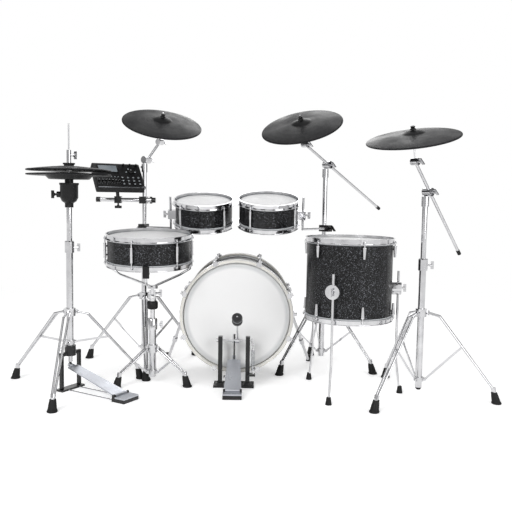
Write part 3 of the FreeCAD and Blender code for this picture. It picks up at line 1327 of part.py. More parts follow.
def boom_stand(name, extra):
    """A stand whose tilting boom carries a pad: the stand, post, boom and pad nodes."""
    place = stand_place(name)
    pieces = [lower_tube(name)] + height_clamp(name) + tripod(name, size("knee_reach"))
    if name == "right":
        pieces.append(
            turned(
                "right_foot_cap",
                (
                    ("0", "right_lower_foot - 10"),
                    ("right_lower_radius * 0.6", "right_lower_foot - 10"),
                    ("right_lower_radius", "right_lower_foot - seat_gap"),
                    ("0", "right_lower_foot - seat_gap"),
                ),
            )
        )
    node(name + "_stand", pieces, place)
    centre = Vector(0, 0, size(name + "_clamp_z"))
    aim = Vector(*[size("%s_boom_%s" % (name, axis)) for axis in "xyz"]).normalize()
    out = UP.cross(aim).normalize()
    half, across = size("ratchet_width") / 2, size("barrel_radius")
    post = size(name + "_upper_radius")
    seat = size("seat_gap")
    cap_foot = centre - UP * 58
    ratchet = rod(cap_foot, centre - UP * (across + 1.5), post + 4)
    ratchet = ratchet.cut(rod(cap_foot - UP, cap_foot + UP * 30, post + seat))
    ratchet = ratchet.fuse(
        [
            rod(cap_foot + UP * 32, centre, half - 0.5),
            rod(centre - out * half, centre + out * half, across),
            rod(centre, centre + out * (half + 5.2), 5),
        ]
    ).removeSplitter()
    tube = upper_tube(name, name + "_clamp_z - 28 - seat_gap")
    post_pieces = [tube, feature(name + "_ratchet", ratchet)]
    for piece in post_pieces:
        piece.Placement = place
    node(name + "_post", post_pieces + extra)
    near = half + size("free_gap")
    width = size("barrel_width")
    middle = centre + out * (near + width / 2)
    boom_radius = size("boom_radius")
    half_clamp = rod(centre + out * near, centre + out * (near + width), across)
    half_clamp = half_clamp.cut(
        [
            rod(centre, centre + out * (near + 5.2), 5 + size("slide_gap")),
            rod(middle - aim * 60, middle + aim * 60, boom_radius + seat),
        ]
    )
    up, down = size(name + "_boom_up"), size(name + "_boom_down")
    tube_end, tilter_at = middle + aim * (up + 4), middle + aim * (up + 12)
    bar = rod(middle - aim * down, tube_end, boom_radius)
    plug = rod(middle - aim * (down + 4), middle - aim * (down - 18), boom_radius + 1.5)
    plug = plug.cut(rod(middle - aim * down, middle, boom_radius + seat))
    lean = leaning(0, 0, 0, size(name + "_tilt"), size(name + "_roll")).Rotation
    rise = lean.multVec(UP)
    pivot = tilter_at + rise * size(name + "_seat")
    rod_radius, thick = size("pad_rod"), size("pad_thickness")
    wide = size("tilter_width") / 2
    tilter = rod(tilter_at - out * wide, tilter_at + out * wide, size("tilter_radius"))
    tilter = tilter.fuse(rod(tilter_at, pivot + rise * (thick / 2 + 22), rod_radius))
    tilter = tilter.cut(rod(middle, tube_end + aim * seat, boom_radius + seat))
    screws = (
        wing_screw(centre + out * (near + width + seat), out, 8),
        wing_screw(tilter_at + out * (wide + seat), out, 6),
    )
    inner = "pad_rod + seat_gap"
    under = "0 - pad_thickness / 2 - pad_play"
    felt = turned(
        name + "_felt",
        (
            (inner, under),
            (inner + " + 1", under),
            ("hub_nut_radius", under + " - pad_fall"),
            ("hub_nut_radius", under + " - pad_fall - felt_height"),
            ("sleeve_radius", under + " - pad_fall - felt_height"),
            ("sleeve_radius", under + " - pad_fall - 3 * felt_height"),
            (inner, under + " - pad_fall - 3 * felt_height"),
        ),
    )
    over = "pad_thickness / 2 + pad_play"
    nut = turned(
        name + "_hub_nut",
        (
            (inner, over),
            (inner + " + 1", over),
            ("hub_nut_radius", over + " + pad_fall"),
            ("hub_nut_radius * 0.95", over + " + pad_fall + 3"),
            ("hub_nut_radius * 0.6", over + " + pad_fall + 6"),
            ("hub_nut_radius * 0.8", over + " + hub_nut_height"),
            (inner, over + " + hub_nut_height"),
        ),
    )
    seat_place = Placement(pivot, lean)
    for piece in (felt, nut):
        piece.Placement = seat_place
    boom_pieces = [
        feature(name + "_boom_clamp", half_clamp),
        feature(name + "_boom_tube", bar),
        feature(name + "_boom_plug", plug),
        feature(name + "_tilter", tilter),
        felt,
        nut,
    ]
    boom_pieces += [feature("%s_boom_screw_%d" % (name, i), s) for i, s in enumerate(screws)]
    node(name + "_boom", boom_pieces, place)
    node(name + "_cymbal", [cymbal_pad(name)], place.multiply(seat_place))
    for label, at in (("clamp", centre), ("pad", pivot)):
        where = plan_point(place.multVec(at))
        print("%s %s pivot: %.1f %.1f %.1f" % (name, label, where.x, where.y, where.z))
    print("%s boom axis: %.4f %.4f %.4f" % (name, out.x, out.y, out.z))


def plan_point(point):
    """A point of the plan, from the middle of the footprint."""
    return point - Vector(size("plan_x"), size("plan_y"), 0)


def cymbal_pad(name):
    """A bowed rubber pad with a raised bell, whose pivot is the middle of its hole."""
    top, under = "pad_thickness / 2", "0 - pad_thickness / 2"
    bow = ((0.45, 0.1), (0.62, 0.27), (0.78, 0.52), (0.9, 0.77), (0.97, 0.95))
    outline = [
        ("cymbal_bore", top),
        ("cymbal_bore + 9", top),
        ("bell_radius * 0.62", top + " - bell_rise * 0.35"),
        ("bell_radius * 0.9", top + " - bell_rise * 0.9"),
        ("bell_radius * 1.1", top + " - bell_rise"),
    ]
    for out, fall in bow:
        outline.append(
            ("pad_radius * %s" % out, top + " - bell_rise - pad_rise * %s" % fall)
        )
    outline += [
        ("pad_radius", top + " - bell_rise - pad_rise - pad_edge * 0.3"),
        ("pad_radius", top + " - bell_rise - pad_rise - pad_edge"),
        ("pad_radius * 0.95", top + " - bell_rise - pad_rise - pad_edge"),
        ("pad_radius * 0.6", under + " - bell_rise - pad_rise * 0.25"),
        ("bell_radius", under + " - bell_rise"),
        ("bell_radius * 0.5", under + " - bell_rise * 0.2"),
        ("bell_radius * 0.4", under),
        ("cymbal_bore", under),
    ]
    return turned(name + "_pad", outline)


for name in ("left", "middle", "right"):
    boom_stand(name, clamps.get(name, []))


# Hi-hat

hihat_place = stand_place("hihat")
node(
    "hihat_tripod",
    [lower_tube("hihat")] + height_clamp("hihat") + tripod("hihat", size("knee_reach")),
    hihat_place,
)
axis_x = size("hihat_hinge_reach")
turn = size("hihat_pedal_turn")
heel_at = hihat_place.Base + spot(axis_x, turn, 0)
hihat_pedal_place = Placement(heel_at, Rotation(UP, turn + 180))
heel_height = size("heel_hinge_height") - 2
block_body, block_plate = heel(size("hihat_heel_width"), heel_height, 56)
bar = size("hihat_frame_bar")
low, high = size("hihat_yoke_foot"), size("hihat_yoke_top")
frame = brick(axis_x, 0, 0, 38, size("hihat_frame_width") + bar + 16, size("base_thickness"))
middle = Vector(axis_x, 0, 0)
frame = frame.fuse(
    [
        brick(axis_x, sign * size("hihat_frame_width") / 2, 4, bar, bar, low + 12)
        for sign in (-1, 1)
    ]
    + [
        brick(axis_x, 0, low + 2, bar, size("hihat_frame_width") + bar, bar + 1),
        Part.makeCylinder(size("hub_radius"), high - low, middle + UP * low),
    ]
).removeSplitter()
frame = frame.cut(
    Part.makeCylinder(size("hihat_lower_radius") + size("seat_gap"), high, middle + UP * (low - 20))
)
links = []
for y in (-30, 30):
    start = Vector(8 + size("seat_gap"), y, 4)
    links.append(rod(start, Vector(axis_x - 19 - size("seat_gap"), y, 4), size("radius_rod")))
node(
    "hihat_pedal_frame",
    [
        feature("hihat_heel", block_body),
        feature("hihat_heel_plate", block_plate),
        feature("hihat_frame", frame),
    ]
    + [feature("hihat_link_%d" % i, link) for i, link in enumerate(links)],
    hihat_pedal_place,
)
toe = Vector(axis_x, 0, size("hihat_toe_height"))
barrel_width = size("hihat_heel_width") - 18 - 2 * size("free_gap")
plate = board(
    toe, heel_height, size("footboard_width"), size("footboard_toe_width"), barrel_width, 4.5
)
node("hihat_footboard", [feature("hihat_board", plate)], hihat_pedal_place)
seat_z = "hihat_seat"
tube = turned(
    "hihat_slide_tube",
    (
        ("hihat_rod_radius + 3", "hihat_upper_foot"),
        ("hihat_upper_radius", "hihat_upper_foot"),
        ("hihat_upper_radius", seat_z + " + controller_height + 14"),
        ("hihat_rod_radius + slide_gap", seat_z + " + controller_height + 14"),
        ("hihat_rod_radius + slide_gap", seat_z + " + controller_height - 6"),
        ("hihat_rod_radius + 3", seat_z + " + controller_height - 6"),
    ),
)
node("hihat_upper_tube", [tube], hihat_place)
bore = "hihat_upper_radius + seat_gap"
housing = turned(
    "controller_housing",
    (
        (bore, seat_z),
        ("controller_neck", seat_z),
        ("controller_neck", seat_z + " + 17"),
        ("controller_radius * 0.8", seat_z + " + 25"),
        ("controller_radius", seat_z + " + 40"),
        ("controller_radius", seat_z + " + controller_height - 10"),
        ("controller_radius + 2.5", seat_z + " + controller_height - 7"),
        ("controller_radius + 2.5", seat_z + " + controller_height"),
        (bore, seat_z + " + controller_height"),
    ),
)
ring = turned(
    "controller_collar",
    (
        (bore, seat_z + " + controller_height + seat_gap"),
        ("controller_neck", seat_z + " + controller_height + seat_gap"),
        ("controller_neck", seat_z + " + controller_height + 13.9"),
        (bore, seat_z + " + controller_height + 13.9"),
    ),
)
boss_z = size("hihat_seat") + 52
boss_way = Vector(-1, 0, 0)
boss = rod(boss_way * 20 + UP * boss_z, boss_way * 49 + UP * boss_z, 12)
boss = boss.cut(
    Part.makeCylinder(size("controller_radius") + size("seat_gap"), 60, UP * (boss_z - 30))
)
boss_screw = wing_screw(boss_way * (49 + size("seat_gap")) + UP * boss_z, boss_way, 8)
node(
    "hihat_controller",
    [housing, ring, feature("controller_boss", boss), feature("controller_screw", boss_screw)],
    hihat_place,
)
rest = seat_z + " + controller_height + 14"
base = turned(
    "hihat_base",
    (
        ("pad_bore", rest + " + seat_gap"),
        ("hihat_pad_radius * 0.47", rest + " + seat_gap"),
        ("hihat_pad_radius * 0.57", rest + " + hihat_base_height"),
        ("pad_bore", rest + " + hihat_base_height"),
    ),
)
low_pad_z = rest + " + hihat_base_height + seat_gap"
edge_z = "( hihat_seat + controller_height + 35 )"
bottom = turned(
    "hihat_bottom_pad",
    (
        ("hihat_pad_radius * 0.13", low_pad_z),
        ("hihat_pad_radius * 0.57", low_pad_z),
        ("hihat_pad_radius * 0.96", edge_z + " - hihat_pad_edge"),
        ("hihat_pad_radius", edge_z + " - hihat_pad_edge * 0.8"),
        ("hihat_pad_radius", edge_z),
        ("hihat_pad_radius * 0.8", edge_z + " + 2.5"),
        ("hihat_pad_radius * 0.4", edge_z + " + 6"),
        ("hihat_pad_radius * 0.13", edge_z + " + 6.5"),
    ),
)
node("hihat_bottom_cymbal", [base, bottom], hihat_place)
top_z = "( hihat_seat + controller_height + 35 + hihat_opening )"
top = turned(
    "hihat_top_pad",
    (
        ("pad_bore", top_z + " + 11.5"),
        ("hihat_pad_radius * 0.18", top_z + " + 11.5"),
        ("hihat_pad_radius * 0.36", top_z + " + 8.5"),
        ("hihat_pad_radius * 0.7", top_z + " + 4"),
        ("hihat_pad_radius * 0.96", top_z + " + 0"),
        ("hihat_pad_radius", top_z + " + 1"),
        ("hihat_pad_radius", top_z + " + hihat_pad_edge"),
        ("hihat_pad_radius * 0.86", top_z + " + hihat_pad_edge + 3.4"),
        ("hihat_pad_radius * 0.66", top_z + " + hihat_pad_edge + 7.6"),
        ("hihat_pad_radius * 0.4", top_z + " + hihat_pad_edge + 12"),
        ("hihat_pad_radius * 0.18", top_z + " + hihat_pad_edge + 15"),
        ("pad_bore", top_z + " + hihat_pad_edge + 15"),
    ),
)
node("hihat_top_cymbal", [top], hihat_place)
pad_under, pad_top = top_z + " + 11.5", top_z + " + hihat_pad_edge + 15"
clutch_bore, clutch_out = "hihat_rod_radius + slide_gap", "hihat_rod_radius + 3"
spindle = turned(
    "clutch_spindle",
    (
        (clutch_bore, pad_under + " - 9"),
        (clutch_out, pad_under + " - 9"),
        (clutch_out, pad_top + " + 2 * felt_height"),
        ("clutch_radius", pad_top + " + 2 * felt_height"),
        ("clutch_radius", pad_top + " + 2 * felt_height + clutch_height"),
        (clutch_bore, pad_top + " + 2 * felt_height + clutch_height"),
    ),
)
rings = []
for label, radius, low, high in (
    ("nut", "clutch_radius + 3", pad_under + " - 8", pad_under + " - seat_gap"),
    ("felt", "felt_radius", pad_top + " + seat_gap", pad_top + " + felt_height"),
    (
        "disc",
        "felt_radius + 4",
        pad_top + " + felt_height + seat_gap",
        pad_top + " + 2 * felt_height - seat_gap",
    ),
):
    inner = clutch_out + " + seat_gap"
    rings.append(
        turned("clutch_" + label, ((inner, low), (radius, low), (radius, high), (inner, high)))
    )
screw_z = reckon(pad_top + " + 2 * felt_height + clutch_height * 0.6")
clutch_screw = wing_screw(
    Vector(size("clutch_radius") + size("seat_gap"), 0, screw_z), Vector(1, 0, 0), 8
)
node("hihat_clutch", [spindle] + rings + [feature("clutch_screw", clutch_screw)], hihat_place)
coupler_z = size("hihat_toe_height") + 14
pull = rod(UP * (coupler_z + 8), UP * size("hihat_rod_top"), size("hihat_rod_radius"))
coupler = rod(UP * coupler_z, UP * (coupler_z + 27), 9)
coupler = coupler.cut(
    [
        rod(UP * (coupler_z + 8), UP * (coupler_z + 60), size("hihat_rod_radius") + gap),
        brick(0, 0, coupler_z - 2, 12.1, 3.1, 9),
    ]
)
strap = brick(0, 0, size("hihat_toe_height") - 5, 12, 3, 25 - 6)
strap_pin = Vector(0, 7, size("hihat_toe_height"))
strap = strap.cut(brick(0, 0, coupler_z + 6.9, 20, 5, 20))
strap = strap.fuse(rod(strap_pin, strap_pin - Vector(0, 14, 0), 2)).removeSplitter()
rod_place = Placement(hihat_place.Base, Rotation(UP, turn + 180))
node(
    "hihat_rod",
    [feature("pull_rod", pull), feature("rod_coupler", coupler), feature("pedal_strap", strap)],
    rod_place,
)

# Snare stand

snare_stand_place = stand_place("snare")
node(
    "snare_stand",
    [lower_tube("snare")] + height_clamp("snare") + tripod("snare", size("snare_stand_knee")),
    snare_stand_place,
)
pivot_z = size("basket_pivot")
pivot = UP * pivot_z
side = Vector(1, 0, 0)
grip_foot = size("snare_grip_foot")
grip_top = grip_foot + size("snare_grip_height")
ring = turned(
    "snare_grip_ring",
    (
        ("snare_upper_radius + seat_gap", "snare_grip_foot"),
        ("snare_grip_radius * 0.8", "snare_grip_foot"),
        ("snare_grip_radius", "snare_grip_foot + 6"),
        ("snare_grip_radius", "snare_grip_foot + snare_grip_height - 6"),
        ("snare_grip_radius * 0.8", "snare_grip_foot + snare_grip_height"),
        ("snare_upper_radius + seat_gap", "snare_grip_foot + snare_grip_height"),
    ),
)
fork = rod(UP * (grip_top + size("seat_gap")), UP * (grip_top + 12), 15)
fork = fork.fuse(
    [
        Part.makeBox(6, 20, 42, Vector(x, -10, grip_top + 4)) for x in (-13, 7)
    ]
).removeSplitter()
fork = fork.cut(
    [
        rod(pivot - side * 30, pivot + side * 30, size("basket_pin") + size("slide_gap")),
        rod(UP * grip_foot, UP * (grip_top + 6), size("snare_upper_radius") + size("seat_gap")),
    ]
)
node(
    "snare_upper_tube",
    [upper_tube("snare", "snare_grip_foot + snare_grip_height + 5.9"), ring, feature("snare_fork", fork)],
    snare_stand_place,
)
to_stand = snare_stand_place.inverse().multiply(snare_place)
tongue = Part.makeBox(12, 20, 26, Vector(-6, -10, pivot_z))
tongue = tongue.fuse(
    [
        rod(pivot - side * 6, pivot + side * 6, 10),
        rod(pivot - side * 19, pivot + side * 19, size("basket_pin")),
        rod(UP * (pivot_z + 21), UP * (pivot_z + 33), 22),
    ]
).removeSplitter()
lip = -size("snare_depth") - size("rim_rise")
hold = size("snare_radius") + size("rim_reach") + size("seat_gap")
arm_at = hold + size("grip_depth") - 6
arm_radius = size("basket_arm")
arms, grips = [], []
hub_mid = UP * (pivot_z + 27)
for angle in evenly(size("basket_turn"), 3):
    low = to_stand.multVec(spot(arm_at - 52, angle, lip - 56))
    bend = to_stand.multVec(spot(arm_at, angle, lip - 32))
    tip = to_stand.multVec(spot(arm_at, angle, lip + size("grip_height") - 24))
    arms.append(bent((hub_mid, low, bend, tip), arm_radius))
    width, tall = size("grip_width"), size("grip_height")
    grip = brick(hold + size("grip_depth") / 2, 0, lip - 20, size("grip_depth"), width, tall)
    grip = grip.fuse(brick(hold - 7, 0, lip - 8, 20, width, 8 - size("seat_gap")))
    grip = grip.cut(
        Part.makeCylinder(hold, 80, Vector(0, 0, lip - size("seat_gap")))
    ).removeSplitter()
    grip = grip.cut(
        rod(Vector(arm_at, 0, lip - 40), Vector(arm_at, 0, lip + 60), arm_radius + size("seat_gap"))
    )
    grip = turned_about(grip, angle)
    grip.Placement = to_stand.multiply(grip.Placement)
    grips.append(feature("basket_grip_%d" % angle, grip))
basket = tongue.fuse(arms).removeSplitter()
knob = wing_screw(pivot + side * 19.1, side, 6)
node(
    "snare_basket",
    [feature("basket_arms", basket), feature("basket_screw", knob)] + grips,
    snare_stand_place,
)

# Sound module, in a frame whose Z leaves the panel

module_place = Placement(
    Vector(size("module_x"), size("module_y"), size("module_z")),
    Rotation(UP, size("module_yaw")).multiply(Rotation(Vector(1, 0, 0), size("module_tilt"))),
)
width, depth, height = size("case_width"), size("case_depth"), size("case_height")
case = brick(0, 0, -height, width, depth, height)
edges = [e for e in case.Edges if abs(e.tangentAt(0).z) > 0.9]
case = case.makeFillet(6, edges)
rim = [e for e in case.Edges if abs(e.BoundBox.ZMin) < 0.01 and abs(e.BoundBox.ZMax) < 0.01]
case = case.makeChamfer(1.5, rim)
screen_at = Vector(-0.19 * width, 0.28 * depth, 0)
screen = brick(screen_at.x, screen_at.y, -1.5, size("screen_width"), size("screen_depth"), 1.2)
hollows = [
    brick(
        screen_at.x,
        screen_at.y,
        -1.5 - size("seat_gap"),
        size("screen_width") + 2 * size("seat_gap"),
        size("screen_depth") + 2 * size("seat_gap"),
        5,
    )
]
slide = size("slide_gap")
dial_at = Vector(0.275 * width, 0.15 * depth, 0)
shaft = 4.0
hollows.append(Part.makeCylinder(shaft + slide, 20, dial_at - UP * 12))
dial = Part.makeCylinder(shaft, 12, dial_at - UP * 11).fuse(
    Part.makeCylinder(size("dial_radius"), size("dial_height"), dial_at + UP * size("free_gap"))
)
knobs = []
for i in range(3):
    at = Vector((0.15 + 0.135 * i) * width, 0.42 * depth, 0)
    hollows.append(Part.makeCylinder(3 + gap, 20, at - UP * 7))
    knob = Part.makeCylinder(3, 8, at - UP * 6).fuse(
        Part.makeCone(size("knob_radius"), size("knob_radius") * 0.8, size("knob_height"), at + UP * gap)
    )
    knobs.append(feature("module_knob_%d" % i, knob.removeSplitter()))
faders = []
cap = size("fader_cap")
for i in range(7):
    at = Vector(-0.225 * width + (i - 3) * size("fader_pitch"), -0.22 * depth, 0)
    hollows.append(brick(at.x, at.y, -6, 2.6, size("fader_travel") + 8, 20))
    stem = brick(at.x, at.y, -5, 2.6 - 2 * slide, 4, 7)
    faders.append(
        feature(
            "module_fader_%d" % i,
            stem.fuse(brick(at.x, at.y, size("free_gap"), 1.4 * cap, cap, cap + 2)).removeSplitter(),
        )
    )
buttons = []
push = size("button_size")
pocket = size("button_depth")
for column in range(4):
    for row in range(3):
        x = 0.065 * width + column * size("button_pitch_x")
        y = -0.095 * depth - row * size("button_pitch_y")
        sides = (push * 1.3, push * 0.8)
        hollows.append(brick(x, y, -pocket - 2, sides[0] + 2 * slide, sides[1] + 2 * slide, 20))
        key = brick(x, y, -pocket, sides[0], sides[1], pocket + size("button_rise"))
        buttons.append(feature("module_button_%d_%d" % (column, row), key))
case = case.cut(hollows)
tilt_at = Vector(0, 0, -height - size("case_stand"))
barrel, half = size("pivot_radius"), 13.0
ear_start = half + size("free_gap")
bracket = brick(0, 0, -height - 3, 70, 60, 3 - gap)
ears = []
for start in (ear_start, -ear_start - 6):
    ears.append(Part.makeBox(6, 24, size("case_stand"), Vector(start, -12, tilt_at.z)))
    ears.append(rod(tilt_at + side * start, tilt_at + side * (start + 6), 12))
bracket = bracket.fuse(ears).removeSplitter()
bracket = bracket.cut(rod(tilt_at - side * 40, tilt_at + side * 40, size("pivot_pin") + slide))
bracket = bracket.cut(brick(0, 0, -height - gap, 90, 90, 10))
node(
    "module_case",
    [
        feature("module_housing", case),
        feature("module_screen", screen),
        feature("module_bracket", bracket),
    ],
    module_place,
)
node("module_dial", [feature("module_dial_knob", dial.removeSplitter())], module_place)
node("module_knobs", knobs, module_place)
node("module_faders", faders, module_place)
node("module_buttons", buttons, module_place)
tube_y, tube_z = size("mount_tube_y"), size("mount_tube_z")
tube_radius = size("mount_tube_radius")
ends = [Vector(size("mount_tube_" + label), tube_y, tube_z) for label in ("left", "right")]
arm = rod(ends[0], ends[1], tube_radius)
caps = []
for end, way in zip(ends, (Vector(1, 0, 0), Vector(-1, 0, 0))):
    cap = rod(end - way * 3, end + way * 16, tube_radius + 2)
    cap = cap.cut(rod(end, end + way * 30, tube_radius + gap))
    caps.append(feature("module_cap_%d" % way.x, cap))
post_at = Vector(size("left_x"), size("left_y"), tube_z)
block = size("mount_clamp_size")
clamp = Part.makeBox(
    block,
    post_at.y - tube_y + block,
    block,
    Vector(post_at.x - block / 2, tube_y - block / 2, tube_z - block / 2),
)
clamp = clamp.cut(
    [
        rod(ends[0], ends[1], tube_radius + gap),
        rod(post_at - UP * 40, post_at + UP * 40, size("left_upper_radius") + gap),
    ]
)
clamp_screw = wing_screw(
    Vector(post_at.x + block / 2 + gap, (post_at.y + tube_y) / 2, tube_z), Vector(1, 0, 0), 8
)
pivot = module_place.multVec(tilt_at)
along = module_place.Rotation.multVec(side)
carrier = Part.makeBox(30, block, block, Vector(pivot.x - 15, tube_y - block / 2, tube_z - block / 2))
carrier = carrier.fuse(
    [
        rod(Vector(pivot.x, tube_y - 6, tube_z + block / 2 - 6), pivot, 8),
        rod(pivot - along * half, pivot + along * half, barrel),
        rod(pivot - along * 22, pivot + along * 22, size("pivot_pin")),
    ]
).removeSplitter()
carrier = carrier.cut(rod(ends[0], ends[1], tube_radius + gap))
carrier_screw = wing_screw(
    Vector(pivot.x, tube_y, tube_z - block / 2 - gap), Vector(0, 0, -1), 8
)
node(
    "module_mount",
    [
        feature("module_arm", arm),
        feature("module_post_clamp", clamp),
        feature("module_clamp_screw", clamp_screw),
        feature("module_carrier", carrier),
        feature("module_carrier_screw", carrier_screw),
    ]
    + caps,
)
node("stand_feet", BOOTS)

doc.recompute()
for thing in doc.Objects:
    if "Invalid" in thing.State or "Error" in thing.State:
        raise RuntimeError("%s is in error: %s" % (thing.Label, thing.State))
os.makedirs("parts", exist_ok=True)
whole = FreeCAD.BoundBox()
for label, group in sorted(NODES.items()):
    shape = group.Shape
    if shape.isNull() or not shape.isValid():
        raise RuntimeError("%s has no valid shape" % label)
    loose = [s for s in shape.Solids if s.Volume < 1]
    if loose or not shape.Solids:
        raise RuntimeError("%s has an empty solid" % label)
    whole.add(shape.BoundBox)
    shape.exportStep("parts/%s.step" % label)
    print("%s: %d solids" % (label, len(shape.Solids)))
print("nodes: %d, middle %.2f %.2f" % (len(NODES), whole.Center.x, whole.Center.y))
print("size %.1f %.1f %.1f, foot %.2f" % (whole.XLength, whole.YLength, whole.ZLength, whole.ZMin))
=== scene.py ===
"""Dresses the electronic drum kit: its heads, pads, hardware, module, studio and camera."""

import json
import logging
import math
from collections.abc import Iterable, Sequence
from dataclasses import dataclass, field
from enum import Enum

import bmesh
import bpy
from mathutils import Matrix, Vector

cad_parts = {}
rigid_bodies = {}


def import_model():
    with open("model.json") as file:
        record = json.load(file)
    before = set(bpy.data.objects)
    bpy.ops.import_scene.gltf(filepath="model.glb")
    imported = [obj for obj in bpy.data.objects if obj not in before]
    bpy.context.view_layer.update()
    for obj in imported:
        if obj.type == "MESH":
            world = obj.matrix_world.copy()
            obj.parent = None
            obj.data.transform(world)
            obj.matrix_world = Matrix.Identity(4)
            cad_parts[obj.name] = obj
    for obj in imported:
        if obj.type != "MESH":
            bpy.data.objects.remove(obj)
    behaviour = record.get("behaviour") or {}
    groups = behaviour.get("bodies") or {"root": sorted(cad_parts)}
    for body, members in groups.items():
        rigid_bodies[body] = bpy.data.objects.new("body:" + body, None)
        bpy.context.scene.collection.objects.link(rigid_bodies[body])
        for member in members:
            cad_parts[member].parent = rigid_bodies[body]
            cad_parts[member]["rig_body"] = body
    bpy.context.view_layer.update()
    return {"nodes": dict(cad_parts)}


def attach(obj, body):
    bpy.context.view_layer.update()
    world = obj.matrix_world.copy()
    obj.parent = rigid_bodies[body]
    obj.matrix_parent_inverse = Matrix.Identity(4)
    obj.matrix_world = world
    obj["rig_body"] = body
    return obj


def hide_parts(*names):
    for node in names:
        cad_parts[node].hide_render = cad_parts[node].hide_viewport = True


LOG = logging.getLogger("drum_kit")

PLAN_ORIGIN = Vector((1.89, -1.06, 0.0))
MILLIMETRE = 0.001

Outline = Sequence[tuple[float, float]]
Colour = tuple[float, float, float]


class Wrap(Enum):
    """How a part's texture coordinates lie on it."""

    FLAT = "flat"
    ROUND = "round"


class Slot(Enum):
    """The record's material slots."""

    HARDWARE = "hardware"
    SHELL = "shell"
    HEAD = "head"
    KICK_HEAD = "kick_head"
    KICK_HOOP = "kick_hoop"
    PAD = "pad"
    RUBBER = "rubber"
    BLACK_METAL = "black_metal"
    BOARD = "board"
    MODULE_BODY = "module_body"
    CONTROLS = "controls"
    LIT_BUTTONS = "lit_buttons"
    FELT = "felt"


def turning(angle: float, axis: str) -> Matrix:
    """A turn of that many degrees about an axis."""
    return Matrix.Rotation(math.radians(angle), 4, axis)


def kit_frame(
    x: float, y: float, z: float = 0.0, turn: float = 0.0, tilt: float = 0.0, roll: float = 0.0
) -> Matrix:
    """The place of a sub-assembly whose own frame is in millimetres.

    Args:
        x: Its origin along the plan's X.
        y: Its origin along the plan's Y.
        z: Its height over the floor.
        turn: Its turn about the upright axis, in degrees.
        tilt: Its lean about X, in degrees.
        roll: Its lean about Y, in degrees.
    """
    at = (Vector((x, y, z)) + PLAN_ORIGIN) * MILLIMETRE
    leaning = turning(turn, "Z") @ turning(roll, "Y") @ turning(tilt, "X")
    return Matrix.Translation(at) @ leaning @ Matrix.Scale(MILLIMETRE, 4)


def aimed(start: Vector, way: Vector) -> Matrix:
    """The frame at start whose Z points along way."""
    return Matrix.Translation(start) @ way.to_track_quat("Z", "Y").to_matrix().to_4x4()


def softened(outline: Outline, corner: float, steps: int = 3) -> list[Vector]:
    """Rounds the corners of a closed outline.

    Args:
        outline: The corners, as radius and height.
        corner: How far from each corner its rounding starts.
        steps: The number of runs in each rounding.

    Returns:
        The rounded outline's points.
    """
    points = [Vector(point) for point in outline]
    rounded: list[Vector] = []
    for index, point in enumerate(points):
        before = points[index - 1] - point
        after = points[(index + 1) % len(points)] - point
        on_axis = point.x < 1e-6
        if corner <= 0 or on_axis or abs(before.angle(after) - math.pi) < 0.02:
            rounded.append(point)
            continue
        reach = min(corner, before.length * 0.45, after.length * 0.45)
        start = point + before.normalized() * reach
        end = point + after.normalized() * reach
        for step in range(steps + 1):
            share = step / steps
            rounded.append(
                start * (1 - share) ** 2 + point * 2 * share * (1 - share) + end * share**2
            )
    return rounded


# Geometry node trees for what repeats


class Tree:
    """A geometry node tree with named inputs that ends in one finish."""

    title = "tree"
    inputs: tuple[tuple[str, str], ...] = ()

    def __init__(self) -> None:
        self.group = bpy.data.node_groups.new(self.title, "GeometryNodeTree")
        self.sockets: dict[str, str] = {}
        for name, kind in (("Geometry", "Geometry"), *self.inputs, ("Finish", "Material")):
            made = self.group.interface.new_socket(
                name, in_out="INPUT", socket_type="NodeSocket" + kind
            )
            self.sockets[name] = made.identifier
        self.group.interface.new_socket(
            "Geometry", in_out="OUTPUT", socket_type="NodeSocketGeometry"
        )
        self.start = self.node("NodeGroupInput")
        shaped = self.shape()
        realized = self.node("GeometryNodeRealizeInstances")
        finished = self.node("GeometryNodeSetMaterial")
        end = self.node("NodeGroupOutput")
        self.join(shaped, realized.inputs["Geometry"])
        self.join(realized.outputs[0], finished.inputs["Geometry"])
        self.join(self.start.outputs["Finish"], finished.inputs["Material"])
        self.join(finished.outputs[0], end.inputs[0])

    def node(self, kind: str, **settings: object) -> bpy.types.Node:
        """Adds a node with its settings."""
        made = self.group.nodes.new(kind)
        for name, value in settings.items():
            setattr(made, name, value)
        return made

    def join(self, source: bpy.types.NodeSocket, target: bpy.types.NodeSocket) -> None:
        """Links two sockets."""
        self.group.links.new(source, target)

    def reckon(self, operation: str, *values: object) -> bpy.types.NodeSocket:
        """The result of a math node on sockets or numbers."""
        made = self.node("ShaderNodeMath", operation=operation)
        for socket, value in zip(made.inputs, values):
            if isinstance(value, bpy.types.NodeSocket):
                self.join(value, socket)
            else:
                socket.default_value = value
        return made.outputs[0]

    def shape(self) -> bpy.types.NodeSocket:
        """Builds the tree's own nodes and returns the geometry that they make."""
        raise NotImplementedError

    def grow(
        self, seed: bpy.types.Mesh, finish: bpy.types.Material, **values: object
    ) -> bpy.types.Mesh:
        """Runs the tree on a mesh.

        Args:
            seed: The mesh that the tree starts from.
            finish: The material of the result.
            values: The named inputs, with underscores for spaces.

        Returns:
            The finished mesh.
        """
        carrier = bpy.data.objects.new(self.title, seed)
        bpy.context.scene.collection.objects.link(carrier)
        modifier = carrier.modifiers.new(self.title, "NODES")
        modifier.node_group = self.group
        modifier[self.sockets["Finish"]] = finish
        for name, value in values.items():
            modifier[self.sockets[name.replace("_", " ")]] = value
        evaluated = carrier.evaluated_get(bpy.context.evaluated_depsgraph_get())
        made = bpy.data.meshes.new_from_object(evaluated)
        carrier.modifiers.remove(modifier)
        bpy.data.objects.remove(carrier)
        return made


